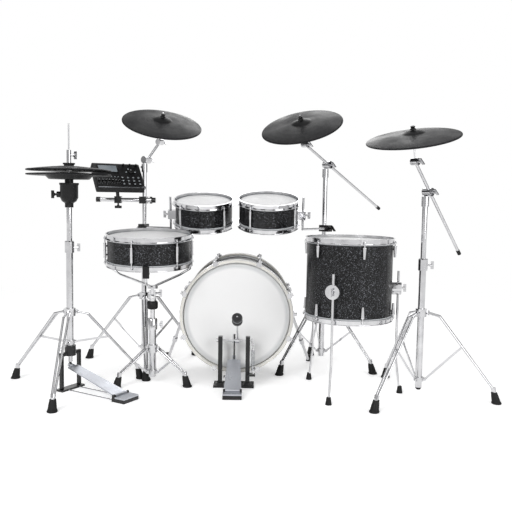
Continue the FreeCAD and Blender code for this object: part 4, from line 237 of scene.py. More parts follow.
class RoundTree(Tree):
    """Sets copies of a piece evenly round Z."""

    title = "evenly_round"
    inputs = (("Count", "Int"), ("First Angle", "Float"))

    def shape(self) -> bpy.types.NodeSocket:
        """Copies the piece onto points that share the axis, each turned a step further."""
        points = self.node("GeometryNodeMeshLine")
        points.inputs["Offset"].default_value = (0, 0, 0)
        self.join(self.start.outputs["Count"], points.inputs["Count"])
        step = self.reckon("DIVIDE", math.tau, self.start.outputs["Count"])
        index = self.node("GeometryNodeInputIndex")
        turned = self.reckon(
            "ADD",
            self.reckon("MULTIPLY", index.outputs[0], step),
            self.start.outputs["First Angle"],
        )
        angles = self.node("ShaderNodeCombineXYZ")
        self.join(turned, angles.inputs["Z"])
        rotation = self.node("FunctionNodeEulerToRotation")
        self.join(angles.outputs[0], rotation.inputs[0])
        piece = self.node("GeometryNodeGeometryToInstance")
        self.join(self.start.outputs["Geometry"], piece.inputs[0])
        copies = self.node("GeometryNodeInstanceOnPoints")
        self.join(points.outputs[0], copies.inputs["Points"])
        self.join(piece.outputs[0], copies.inputs["Instance"])
        self.join(rotation.outputs[0], copies.inputs["Rotation"])
        return copies.outputs[0]


class RowTree(Tree):
    """Sets copies of a piece along a straight row."""

    title = "along_a_row"
    inputs = (("Count", "Int"), ("Step", "Vector"))

    def shape(self) -> bpy.types.NodeSocket:
        """Copies the piece onto the points of a line."""
        points = self.node("GeometryNodeMeshLine")
        self.join(self.start.outputs["Count"], points.inputs["Count"])
        self.join(self.start.outputs["Step"], points.inputs["Offset"])
        piece = self.node("GeometryNodeGeometryToInstance")
        self.join(self.start.outputs["Geometry"], piece.inputs[0])
        copies = self.node("GeometryNodeInstanceOnPoints")
        self.join(points.outputs[0], copies.inputs["Points"])
        self.join(piece.outputs[0], copies.inputs["Instance"])
        return copies.outputs[0]


class CoilTree(Tree):
    """Winds wire into a coil spring round Z."""

    title = "wound_wire"
    inputs = (
        ("Turns", "Float"),
        ("Radius", "Float"),
        ("Height", "Float"),
        ("Wire Radius", "Float"),
    )

    def shape(self) -> bpy.types.NodeSocket:
        """Sweeps a round section along a spiral."""
        spiral = self.node("GeometryNodeCurveSpiral")
        spiral.inputs["Resolution"].default_value = 28
        self.join(self.start.outputs["Turns"], spiral.inputs["Rotations"])
        self.join(self.start.outputs["Radius"], spiral.inputs["Start Radius"])
        self.join(self.start.outputs["Radius"], spiral.inputs["End Radius"])
        self.join(self.start.outputs["Height"], spiral.inputs["Height"])
        section = self.node("GeometryNodeCurvePrimitiveCircle")
        section.inputs["Resolution"].default_value = 10
        self.join(self.start.outputs["Wire Radius"], section.inputs["Radius"])
        wire = self.node("GeometryNodeCurveToMesh")
        wire.inputs["Fill Caps"].default_value = True
        self.join(spiral.outputs[0], wire.inputs["Curve"])
        self.join(section.outputs[0], wire.inputs["Profile Curve"])
        return wire.outputs[0]


class RidgeTree(Tree):
    """Stacks rings up a tapering body."""

    title = "stacked_ridges"
    inputs = (
        ("Count", "Int"),
        ("Low Radius", "Float"),
        ("Taper", "Float"),
        ("Foot", "Vector"),
        ("Step", "Vector"),
        ("Thickness", "Float"),
    )

    def shape(self) -> bpy.types.NodeSocket:
        """Sets a round ring at each point of a line, each smaller than the one below."""
        points = self.node("GeometryNodeMeshLine")
        self.join(self.start.outputs["Count"], points.inputs["Count"])
        self.join(self.start.outputs["Foot"], points.inputs["Start Location"])
        self.join(self.start.outputs["Step"], points.inputs["Offset"])
        circle = self.node("GeometryNodeCurvePrimitiveCircle")
        circle.inputs["Resolution"].default_value = 36
        self.join(self.start.outputs["Low Radius"], circle.inputs["Radius"])
        section = self.node("GeometryNodeCurvePrimitiveCircle")
        section.inputs["Resolution"].default_value = 8
        self.join(self.start.outputs["Thickness"], section.inputs["Radius"])
        ring = self.node("GeometryNodeCurveToMesh")
        self.join(circle.outputs[0], ring.inputs["Curve"])
        self.join(section.outputs[0], ring.inputs["Profile Curve"])
        index = self.node("GeometryNodeInputIndex")
        shrink = self.reckon(
            "SUBTRACT", 1.0, self.reckon("MULTIPLY", index.outputs[0], self.start.outputs["Taper"])
        )
        scale = self.node("ShaderNodeCombineXYZ")
        self.join(shrink, scale.inputs["X"])
        self.join(shrink, scale.inputs["Y"])
        scale.inputs["Z"].default_value = 1.0
        copies = self.node("GeometryNodeInstanceOnPoints")
        self.join(points.outputs[0], copies.inputs["Points"])
        self.join(ring.outputs[0], copies.inputs["Instance"])
        self.join(scale.outputs[0], copies.inputs["Scale"])
        return copies.outputs[0]


@dataclass
class Jigs:
    """The geometry node trees, each built once."""

    round: RoundTree = field(default_factory=RoundTree)
    row: RowTree = field(default_factory=RowTree)
    coil: CoilTree = field(default_factory=CoilTree)
    ridges: RidgeTree = field(default_factory=RidgeTree)


# Shapes


class Shape:
    """A piece under construction, in millimetres in its own frame."""

    def __init__(self) -> None:
        self.mesh = bmesh.new()
        self.mesh.loops.layers.uv.new("lay")
        self.materials: list[bpy.types.Material] = []

    def index(self, material: bpy.types.Material) -> int:
        """The material's place among the piece's finishes."""
        if material not in self.materials:
            self.materials.append(material)
        return self.materials.index(material)

    def take(
        self,
        part: bmesh.types.BMesh,
        material: bpy.types.Material,
        place: Matrix | None = None,
        wrap: Wrap = Wrap.FLAT,
    ) -> "Shape":
        """Adds a part in one finish.

        Args:
            part: The part, which is used up.
            material: Its finish.
            place: Where it goes in the piece's frame.
            wrap: How its texture coordinates lie.

        Returns:
            The shape itself.
        """
        lay = part.loops.layers.uv.get("lay") or part.loops.layers.uv.new("lay")
        index = self.index(material)
        for face in part.faces:
            face.material_index = index
            face.smooth = True
            for loop in face.loops:
                at = loop.vert.co
                flat = at.xy
                if wrap is Wrap.ROUND:
                    around = math.atan2(at.y, at.x) * at.xy.length
                    flat = Vector((around, at.z))
                loop[lay].uv = flat * MILLIMETRE
        if place is not None:
            part.transform(place)
        scratch = bpy.data.meshes.new("part")
        part.to_mesh(scratch)
        part.free()
        self.mesh.from_mesh(scratch)
        bpy.data.meshes.remove(scratch)
        return self

    def take_mesh(self, made: bpy.types.Mesh, material: bpy.types.Material) -> "Shape":
        """Adds what a geometry node tree has made, in one finish."""
        first = len(self.mesh.faces)
        self.mesh.from_mesh(made)
        self.mesh.faces.ensure_lookup_table()
        index = self.index(material)
        for face in self.mesh.faces[first:]:
            face.material_index = index
            face.smooth = True
        bpy.data.meshes.remove(made)
        return self

    def turned(
        self,
        outline: Outline,
        material: bpy.types.Material,
        place: Matrix | None = None,
        corner: float = 0.6,
        sides: int = 96,
        wrap: Wrap = Wrap.FLAT,
    ) -> "Shape":
        """Adds a part turned round Z.

        Args:
            outline: Its closed section, as radius and height.
            material: Its finish.
            place: Where it goes in the piece's frame.
            corner: The rounding of the section's corners.
            sides: The number of faces round it.
            wrap: How its texture coordinates lie.

        Returns:
            The shape itself.
        """
        part = bmesh.new()
        points = softened(outline, corner)
        corners = [part.verts.new((point.x, 0.0, point.y)) for point in points]
        edges = [
            part.edges.new((corners[i], corners[(i + 1) % len(corners)]))
            for i in range(len(corners))
        ]
        bmesh.ops.spin(
            part,
            geom=corners + edges,
            axis=(0, 0, 1),
            cent=(0, 0, 0),
            steps=sides,
            angle=math.tau,
            use_merge=True,
        )
        bmesh.ops.remove_doubles(part, verts=part.verts, dist=1e-4)
        bmesh.ops.dissolve_degenerate(part, edges=part.edges, dist=1e-5)
        bmesh.ops.recalc_face_normals(part, faces=part.faces)
        return self.take(part, material, place, wrap)

    def rod(
        self,
        start: Sequence[float],
        end: Sequence[float],
        radius: float,
        material: bpy.types.Material,
        sides: int = 24,
        corner: float = 0.5,
    ) -> "Shape":
        """Adds a round rod between two points."""
        foot, head = Vector(start), Vector(end)
        long = (head - foot).length
        outline = ((0.0, 0.0), (radius, 0.0), (radius, long), (0.0, long))
        return self.turned(outline, material, aimed(foot, head - foot), corner, sides, Wrap.ROUND)

    def block(
        self,
        middle: Sequence[float],
        sides: Sequence[float],
        material: bpy.types.Material,
        corner: float = 1.0,
        steps: int = 2,
    ) -> "Shape":
        """Adds a block with rounded edges."""
        part = bmesh.new()
        bmesh.ops.create_cube(part, size=1.0)
        bmesh.ops.scale(part, vec=Vector(sides), verts=part.verts)
        bmesh.ops.bevel(
            part,
            geom=part.edges[:],
            offset=corner,
            segments=steps,
            profile=0.5,
            affect="EDGES",
            clamp_overlap=True,
        )
        bmesh.ops.translate(part, vec=Vector(middle), verts=part.verts)
        return self.take(part, material)

    def single(self) -> bpy.types.Mesh:
        """The shape as a mesh of its own, used as the seed of a tree."""
        made = bpy.data.meshes.new("seed")
        self.mesh.to_mesh(made)
        self.mesh.free()
        return made

    def finish(
        self,
        name: str,
        place: Matrix,
        body: str,
        slot: Slot,
        stands_for: Iterable[str] = (),
        sharp: float = 42.0,
    ) -> bpy.types.Object:
        """Args:
            name: The piece's name.
            body: The moving body that it rides on.
            slot: The record's slot; it is not used.
            stands_for: The nodes that it replaces.
            sharp: The angle from which an edge stays sharp, in degrees.

        Returns:
            The finished object.
        """
        self.mesh.transform(place)
        made = bpy.data.meshes.new(name)
        self.mesh.to_mesh(made)
        self.mesh.free()
        for material in self.materials:
            made.materials.append(material)
        made.set_sharp_from_angle(angle=math.radians(sharp))
        thing = bpy.data.objects.new(name, made)
        bpy.context.scene.collection.objects.link(thing)
        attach(thing, body)
        if tuple(stands_for):
            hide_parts(*stands_for)
        return thing


# Shader groups and finishes


def linear(red: float, green: float, blue: float) -> tuple[float, float, float, float]:
    """A screen colour as the shaders' linear one."""
    values = [
        part / 12.92 if part <= 0.04045 else ((part + 0.055) / 1.055) ** 2.4
        for part in (red, green, blue)
    ]
    return (values[0], values[1], values[2], 1.0)


class Wiring:
    """Places and joins the nodes of a material or a shader group."""

    def __init__(self, tree: bpy.types.NodeTree) -> None:
        self.tree = tree

    def node(self, kind: str, **settings: object) -> bpy.types.Node:
        """Adds a node with its settings."""
        made = self.tree.nodes.new(kind)
        for name, value in settings.items():
            setattr(made, name, value)
        return made

    def feed(self, socket: bpy.types.NodeSocket, value: object) -> None:
        """Gives a socket a link or a constant."""
        if isinstance(value, bpy.types.NodeSocket):
            self.tree.links.new(value, socket)
        else:
            socket.default_value = value

    def reckon(self, operation: str, *values: object) -> bpy.types.NodeSocket:
        """The result of a math node."""
        made = self.node("ShaderNodeMath", operation=operation)
        for socket, value in zip(made.inputs, values):
            self.feed(socket, value)
        return made.outputs[0]

    def spread(
        self, value: object, low: object, high: object, start: float = 0.0, end: float = 1.0
    ) -> bpy.types.NodeSocket:
        """Maps a value from start and end onto low and high."""
        made = self.node("ShaderNodeMapRange")
        for name, part in (
            ("Value", value),
            ("From Min", start),
            ("From Max", end),
            ("To Min", low),
            ("To Max", high),
        ):
            self.feed(made.inputs[name], part)
        return made.outputs[0]

    def blend(self, share: object, first: object, second: object) -> bpy.types.NodeSocket:
        """Mixes two colours."""
        made = self.node("ShaderNodeMix", data_type="RGBA")
        self.feed(made.inputs[0], share)
        self.feed(made.inputs[6], first)
        self.feed(made.inputs[7], second)
        return made.outputs[2]

    def group(self, tree: bpy.types.NodeTree, **values: object) -> bpy.types.Node:
        """Places a shader group with its named inputs."""
        made = self.node("ShaderNodeGroup")
        made.node_tree = tree
        for name, value in values.items():
            self.feed(made.inputs[name.replace("_", " ")], value)
        return made


class Effect:
    """A shader group with named inputs and outputs."""

    title = "effect"
    inputs: tuple[tuple[str, str, object], ...] = ()
    outputs: tuple[tuple[str, str], ...] = ()

    def __init__(self) -> None:
        self.tree = bpy.data.node_groups.new(self.title, "ShaderNodeTree")
        for name, kind, value in self.inputs:
            made = self.tree.interface.new_socket(
                name, in_out="INPUT", socket_type="NodeSocket" + kind
            )
            if value is not None:
                made.default_value = value
        for name, kind in self.outputs:
            self.tree.interface.new_socket(
                name, in_out="OUTPUT", socket_type="NodeSocket" + kind
            )
        self.wiring = Wiring(self.tree)
        self.given = self.wiring.node("NodeGroupInput")
        self.end = self.wiring.node("NodeGroupOutput")
        self.build()

    def build(self) -> None:
        """Builds the group's nodes."""
        raise NotImplementedError

    def noise(self, scale: object, detail: float, vector: object) -> bpy.types.NodeSocket:
        """A noise value on a vector."""
        made = self.wiring.node("ShaderNodeTexNoise")
        self.wiring.feed(made.inputs["Scale"], scale)
        self.wiring.feed(made.inputs["Detail"], detail)
        self.wiring.feed(made.inputs["Vector"], vector)
        return made.outputs["Fac"]


class Handling(Effect):
    """Smudges, dust and a fine grain from use."""

    title = "handling"
    inputs = (
        ("Smudge Scale", "Float", 12.0),
        ("Grain Scale", "Float", 900.0),
        ("Smooth", "Float", 0.1),
        ("Rough", "Float", 0.3),
    )
    outputs = (("Roughness", "Float"), ("Height", "Float"), ("Blotch", "Float"))

    def build(self) -> None:
        """Large soft smudges set the roughness, and a fine grain the height."""
        place = self.wiring.node("ShaderNodeTexCoord").outputs["Object"]
        smudge = self.noise(self.given.outputs["Smudge Scale"], 4.0, place)
        grain = self.noise(self.given.outputs["Grain Scale"], 2.0, place)
        rough = self.wiring.spread(
            smudge, self.given.outputs["Smooth"], self.given.outputs["Rough"], 0.35, 0.68
        )
        self.wiring.feed(self.end.inputs["Roughness"], rough)
        self.wiring.feed(self.end.inputs["Height"], grain)
        self.wiring.feed(self.end.inputs["Blotch"], smudge)


class Weave(Effect):
    """The threads and holes of a woven mesh."""

    title = "woven_mesh"
    inputs = (("Vector", "Vector", None), ("Pitch", "Float", 0.0012))
    outputs = (("Height", "Float"), ("Thread", "Float"))

    def build(self) -> None:
        """Two sets of threads cross, each over and under the other."""
        wiring = self.wiring
        parts = wiring.node("ShaderNodeSeparateXYZ")
        wiring.feed(parts.inputs[0], self.given.outputs["Vector"])
        turns = wiring.reckon("DIVIDE", math.tau, self.given.outputs["Pitch"])
        across = wiring.reckon("SINE", wiring.reckon("MULTIPLY", parts.outputs[0], turns))
        along = wiring.reckon("SINE", wiring.reckon("MULTIPLY", parts.outputs[1], turns))
        crossing = wiring.reckon("MULTIPLY", across, along)
        thread = wiring.reckon(
            "MAXIMUM", wiring.reckon("ABSOLUTE", across), wiring.reckon("ABSOLUTE", along)
        )
        height = wiring.reckon("ADD", thread, wiring.reckon("MULTIPLY", crossing, 0.5))
        wiring.feed(self.end.inputs["Height"], height)
        wiring.feed(self.end.inputs["Thread"], thread)


class Flakes(Effect):
    """Small bright flakes scattered through a dark wrap."""

    title = "flakes"
    inputs = (("Scale", "Float", 500.0), ("Share", "Float", 0.3))
    outputs = (("Mask", "Float"), ("Shade", "Float"), ("Height", "Float"))

    def build(self) -> None:
        """Cells, each with its own brightness and lie, of which a share shows."""
        wiring = self.wiring
        place = wiring.node("ShaderNodeTexCoord").outputs["Object"]
        cells = wiring.node("ShaderNodeTexVoronoi", feature="F1")
        wiring.feed(cells.inputs["Vector"], place)
        wiring.feed(cells.inputs["Scale"], self.given.outputs["Scale"])
        parts = wiring.node("ShaderNodeSeparateColor")
        wiring.feed(parts.inputs[0], cells.outputs["Color"])
        mask = wiring.reckon("LESS_THAN", parts.outputs[0], self.given.outputs["Share"])
        lie = wiring.reckon("MULTIPLY", cells.outputs["Distance"], parts.outputs[2])
        wiring.feed(self.end.inputs["Mask"], mask)
        wiring.feed(self.end.inputs["Shade"], parts.outputs[1])
        wiring.feed(self.end.inputs["Height"], lie)


class Circles(Effect):
    """Fine rings round the middle of a pad or a head."""

    title = "fine_rings"
    inputs = (("Vector", "Vector", None), ("Pitch", "Float", 0.004))
    outputs = (("Height", "Float"), ("Distance", "Float"))

    def build(self) -> None:
        """The distance from the middle, and a wave along it."""
        wiring = self.wiring
        far = wiring.node("ShaderNodeVectorMath", operation="LENGTH")
        wiring.feed(far.inputs[0], self.given.outputs["Vector"])
        turns = wiring.reckon("DIVIDE", math.tau, self.given.outputs["Pitch"])
        wave = wiring.reckon("SINE", wiring.reckon("MULTIPLY", far.outputs["Value"], turns))
        wiring.feed(self.end.inputs["Height"], wave)
        wiring.feed(self.end.inputs["Distance"], far.outputs["Value"])


@dataclass
class Effects:
    """The shader groups, each built once."""

    handling: Handling = field(default_factory=Handling)
    weave: Weave = field(default_factory=Weave)
    flakes: Flakes = field(default_factory=Flakes)
    circles: Circles = field(default_factory=Circles)


@dataclass(frozen=True)
class Finish:
    """A surface finish: each kind adds its own nodes to the shader."""

    name: str

    def make(self, effects: Effects) -> bpy.types.Material:
        """Builds the material.

        Args:
            effects: The shader groups.

        Returns:
            The new material.
        """
        material = bpy.data.materials.new(self.name)
        material.use_nodes = True
        wiring = Wiring(material.node_tree)
        self.wire(wiring, material.node_tree.nodes["Principled BSDF"], effects)
        return material

    def wire(self, wiring: Wiring, shader: bpy.types.Node, effects: Effects) -> None:
        """Adds the finish's own nodes."""
        raise NotImplementedError

    @staticmethod
    def relief(
        wiring: Wiring, shader: bpy.types.Node, height: object, depth: float, strength: float
    ) -> None:
        """Feeds a height through a bump node to the shader.

        Args:
            wiring: The material's wiring.
            shader: Its shader.
            height: The height's socket.
            depth: How deep a height of 1 is, in metres.
            strength: How much of it shows.
        """
        bump = wiring.node("ShaderNodeBump")
        bump.inputs["Distance"].default_value = depth
        bump.inputs["Strength"].default_value = strength
        wiring.feed(bump.inputs["Height"], height)
        wiring.feed(shader.inputs["Normal"], bump.outputs[0])

    @staticmethod
    def laid(wiring: Wiring) -> bpy.types.NodeSocket:
        """The piece's own lie, in metres."""
        return wiring.node("ShaderNodeUVMap", uv_map="lay").outputs[0]


@dataclass(frozen=True)
class Plating(Finish):
    """Polished plating, lightly smudged."""

    bright: Colour = (0.87, 0.87, 0.875)
    dull: Colour = (0.70, 0.70, 0.71)
    smooth: float = 0.05
    rough: float = 0.17

    def wire(self, wiring: Wiring, shader: bpy.types.Node, effects: Effects) -> None:
        """Mirror metal whose smudges are duller and darker."""
        use = wiring.group(
            effects.handling.tree,
            Smudge_Scale=26.0,
            Grain_Scale=700.0,
            Smooth=self.smooth,
            Rough=self.rough,
        )
        colour = wiring.blend(use.outputs["Blotch"], linear(*self.bright), linear(*self.dull))
        wiring.feed(shader.inputs["Base Color"], colour)
        wiring.feed(shader.inputs["Roughness"], use.outputs["Roughness"])
        shader.inputs["Metallic"].default_value = 1.0
        self.relief(wiring, shader, use.outputs["Height"], 0.00004, 0.25)


@dataclass(frozen=True)
class Brushed(Finish):
    """A metal plate brushed one way."""

    bright: Colour = (0.80, 0.81, 0.83)
    dull: Colour = (0.62, 0.63, 0.66)
    stretch: tuple[float, float, float] = (900.0, 24.0, 900.0)

    def wire(self, wiring: Wiring, shader: bpy.types.Node, effects: Effects) -> None:
        """Long scratches set the shade, the gloss and the relief."""
        place = wiring.node("ShaderNodeTexCoord").outputs["Object"]
        lie = wiring.node("ShaderNodeMapping")
        lie.inputs["Scale"].default_value = self.stretch
        wiring.feed(lie.inputs["Vector"], place)
        scratch = wiring.node("ShaderNodeTexNoise")
        scratch.inputs["Scale"].default_value = 1.0
        scratch.inputs["Detail"].default_value = 3.0
        wiring.feed(scratch.inputs["Vector"], lie.outputs[0])
        fac = scratch.outputs["Fac"]
        use = wiring.group(effects.handling.tree, Smudge_Scale=18.0, Smooth=-0.04, Rough=0.08)
        gloss = wiring.reckon("ADD", wiring.spread(fac, 0.22, 0.42), use.outputs["Roughness"])
        wiring.feed(
            shader.inputs["Base Color"], wiring.blend(fac, linear(*self.bright), linear(*self.dull))
        )
        wiring.feed(shader.inputs["Roughness"], gloss)
        shader.inputs["Metallic"].default_value = 1.0
        self.relief(wiring, shader, fac, 0.00006, 0.4)


@dataclass(frozen=True)
class Moulded(Finish):
    """Rubber, plastic or enamel with a moulded grain."""

    colour: Colour = (0.05, 0.05, 0.055)
    worn: Colour = (0.12, 0.12, 0.125)
    smooth: float = 0.45
    rough: float = 0.7
    grain: float = 1400.0
    depth: float = 0.00012
    strength: float = 0.35
    coat: float = 0.0
    specular: float = 0.3

    def wire(self, wiring: Wiring, shader: bpy.types.Node, effects: Effects) -> None:
        """A dark ground with paler handled blotches and a fine grain."""
        use = wiring.group(
            effects.handling.tree,
            Smudge_Scale=14.0,
            Grain_Scale=self.grain,
            Smooth=self.smooth,
            Rough=self.rough,
        )
        share = wiring.spread(use.outputs["Blotch"], 0.0, 1.0, 0.38, 0.8)
        wiring.feed(
            shader.inputs["Base Color"],
            wiring.blend(share, linear(*self.colour), linear(*self.worn)),
        )
        wiring.feed(shader.inputs["Roughness"], use.outputs["Roughness"])
        shader.inputs["Specular IOR Level"].default_value = self.specular
        shader.inputs["Coat Weight"].default_value = self.coat
        shader.inputs["Coat Roughness"].default_value = 0.08
        self.relief(wiring, shader, use.outputs["Height"], self.depth, self.strength)


@dataclass(frozen=True)
class PadRubber(Finish):
    """A pad's rubber skin with fine rings pressed into it."""

    colour: Colour = (0.048, 0.049, 0.058)
    worn: Colour = (0.088, 0.089, 0.102)
    bell: float = 0.052

    def wire(self, wiring: Wiring, shader: bpy.types.Node, effects: Effects) -> None:
        """Rings and grain in the relief, and a darker bell."""
        use = wiring.group(
            effects.handling.tree, Smudge_Scale=9.0, Grain_Scale=1300.0, Smooth=0.42, Rough=0.62
        )
        rings = wiring.group(effects.circles.tree, Vector=self.laid(wiring), Pitch=0.0042)
        share = wiring.spread(use.outputs["Blotch"], 0.0, 1.0, 0.35, 0.8)
        skin = wiring.blend(share, linear(*self.colour), linear(*self.worn))
        on_bell = wiring.reckon("LESS_THAN", rings.outputs["Distance"], self.bell)
        wiring.feed(
            shader.inputs["Base Color"],
            wiring.blend(wiring.reckon("MULTIPLY", on_bell, 0.55), skin, linear(0.02, 0.02, 0.02)),
        )
        wiring.feed(shader.inputs["Roughness"], use.outputs["Roughness"])
        shader.inputs["Specular IOR Level"].default_value = 0.22
        grain = wiring.reckon("MULTIPLY", use.outputs["Height"], 0.6)
        height = wiring.reckon(
            "ADD", grain, wiring.reckon("MULTIPLY", rings.outputs["Height"], 0.5)
        )
        self.relief(wiring, shader, height, 0.00022, 0.5)


@dataclass(frozen=True)
class Sparkle(Finish):
    """A dark wrap full of silver flakes under a clear coat."""

    ground: Colour = (0.022, 0.022, 0.026)
    flake: Colour = (0.62, 0.63, 0.66)

    def wire(self, wiring: Wiring, shader: bpy.types.Node, effects: Effects) -> None:
        """Large and small flakes at two scales over the dark ground."""
        large = wiring.group(effects.flakes.tree, Scale=420.0, Share=0.03)
        small = wiring.group(effects.flakes.tree, Scale=900.0, Share=0.06)
        mask = wiring.reckon("MAXIMUM", large.outputs["Mask"], small.outputs["Mask"])
        shade = wiring.reckon("MULTIPLY", large.outputs["Shade"], small.outputs["Shade"])
        shown = wiring.reckon("MULTIPLY", mask, wiring.spread(shade, 0.25, 1.0, 0.0, 0.6))
        wiring.feed(
            shader.inputs["Base Color"],
            wiring.blend(shown, linear(*self.ground), linear(*self.flake)),
        )
        wiring.feed(shader.inputs["Metallic"], wiring.reckon("MULTIPLY", shown, 0.8))
        wiring.feed(shader.inputs["Roughness"], wiring.spread(shown, 0.42, 0.24))
        shader.inputs["Specular IOR Level"].default_value = 0.15
        shader.inputs["Coat Weight"].default_value = 0.22
        shader.inputs["Coat Roughness"].default_value = 0.12
        self.relief(wiring, shader, large.outputs["Height"], 0.0002, 0.2)


@dataclass(frozen=True)
class WovenHead(Finish):
    """A white mesh head, with painted shade in the gaps of its weave and in a grey band next to its
    hoop.
    """

    colour: Colour = (0.97, 0.97, 0.97)
    # The colour in the gaps between the threads, a painted shade.
    thread: Colour = (0.87, 0.87, 0.88)
    # Painted shade: the grey band next to the hoop, and the radii in metres where it starts and ends.
    hoop_shade: Colour = (0.76, 0.77, 0.78)
    hoop_shade_start: float = 0.11
    hoop_shade_end: float = 0.125
    pitch: float = 0.0013
    depth: float = 0.0003

    def wire(self, wiring: Wiring, shader: bpy.types.Node, effects: Effects) -> None:
        """Crossing threads in the relief, painted shade in the gaps between them, and a soft grey band
        of painted shade next to the hoop.
        """
        lie = self.laid(wiring)
        weave = wiring.group(effects.weave.tree, Vector=lie, Pitch=self.pitch)
        rings = wiring.group(effects.circles.tree, Vector=lie)
        use = wiring.group(effects.handling.tree, Smudge_Scale=11.0, Smooth=0.5, Rough=0.7)
        # Painted shade: the gaps between the threads are greyer than the threads.
        share = wiring.spread(weave.outputs["Thread"], 0.7, 0.0, 0.55, 1.0)
        ground = wiring.blend(share, linear(*self.colour), linear(*self.thread))
        # Painted shade: the head greys towards its hoop.
        in_hoop_shade = wiring.spread(
            rings.outputs["Distance"], 0.0, 1.0, self.hoop_shade_start, self.hoop_shade_end
        )
        wiring.feed(
            shader.inputs["Base Color"], wiring.blend(in_hoop_shade, ground, linear(*self.hoop_shade))
        )
        wiring.feed(shader.inputs["Roughness"], use.outputs["Roughness"])
        self.relief(wiring, shader, weave.outputs["Height"], self.depth, 0.45)


@dataclass(frozen=True)
class Fuzz(Finish):
    """Pressed felt."""

    colour: Colour = (0.075, 0.075, 0.08)
    tuft: Colour = (0.19, 0.19, 0.20)

    def wire(self, wiring: Wiring, shader: bpy.types.Node, effects: Effects) -> None:
        """Short tufts in the colour and a soft sheen."""
        use = wiring.group(
            effects.handling.tree, Smudge_Scale=220.0, Grain_Scale=1100.0, Smooth=0.85, Rough=1.0
        )
        share = wiring.spread(use.outputs["Blotch"], 0.0, 1.0, 0.4, 0.7)
        wiring.feed(
            shader.inputs["Base Color"],
            wiring.blend(share, linear(*self.colour), linear(*self.tuft)),
        )
        wiring.feed(shader.inputs["Roughness"], use.outputs["Roughness"])
        shader.inputs["Sheen Weight"].default_value = 0.4
        self.relief(wiring, shader, use.outputs["Height"], 0.0005, 0.6)


@dataclass(frozen=True)
class Glass(Finish):
    """A display's window: a grey field with soft rows of cells."""

    colour: Colour = (0.40, 0.42, 0.44)
    row: Colour = (0.52, 0.55, 0.57)

    def wire(self, wiring: Wiring, shader: bpy.types.Node, effects: Effects) -> None:
        """Fine square cells under a glossy window."""
        weave = wiring.group(effects.weave.tree, Vector=self.laid(wiring), Pitch=0.0016)
        use = wiring.group(effects.handling.tree, Smudge_Scale=30.0, Smooth=0.08, Rough=0.2)
        ground = wiring.blend(use.outputs["Blotch"], linear(*self.colour), linear(*self.row))
        share = wiring.spread(weave.outputs["Thread"], 0.0, 0.35, 0.9, 1.0)
        lit = wiring.blend(share, ground, linear(0.2, 0.21, 0.22))
        wiring.feed(shader.inputs["Base Color"], lit)
        wiring.feed(shader.inputs["Emission Color"], lit)
        shader.inputs["Emission Strength"].default_value = 0.18
        wiring.feed(shader.inputs["Roughness"], use.outputs["Roughness"])


@dataclass(frozen=True)
class LitKey(Finish):
    """A clear key with a lamp behind its middle."""

    colour: Colour = (0.75, 0.78, 0.80)
    glow: float = 0.5

    def wire(self, wiring: Wiring, shader: bpy.types.Node, effects: Effects) -> None:
        """Blotchy light from inside a slightly rough key."""
        use = wiring.group(effects.handling.tree, Smudge_Scale=160.0, Smooth=0.25, Rough=0.4)
        dim = linear(*[part * 0.55 for part in self.colour])
        lit = wiring.blend(use.outputs["Blotch"], linear(*self.colour), dim)
        wiring.feed(shader.inputs["Base Color"], lit)
        wiring.feed(shader.inputs["Emission Color"], lit)
        shader.inputs["Emission Strength"].default_value = self.glow
        wiring.feed(shader.inputs["Roughness"], use.outputs["Roughness"])


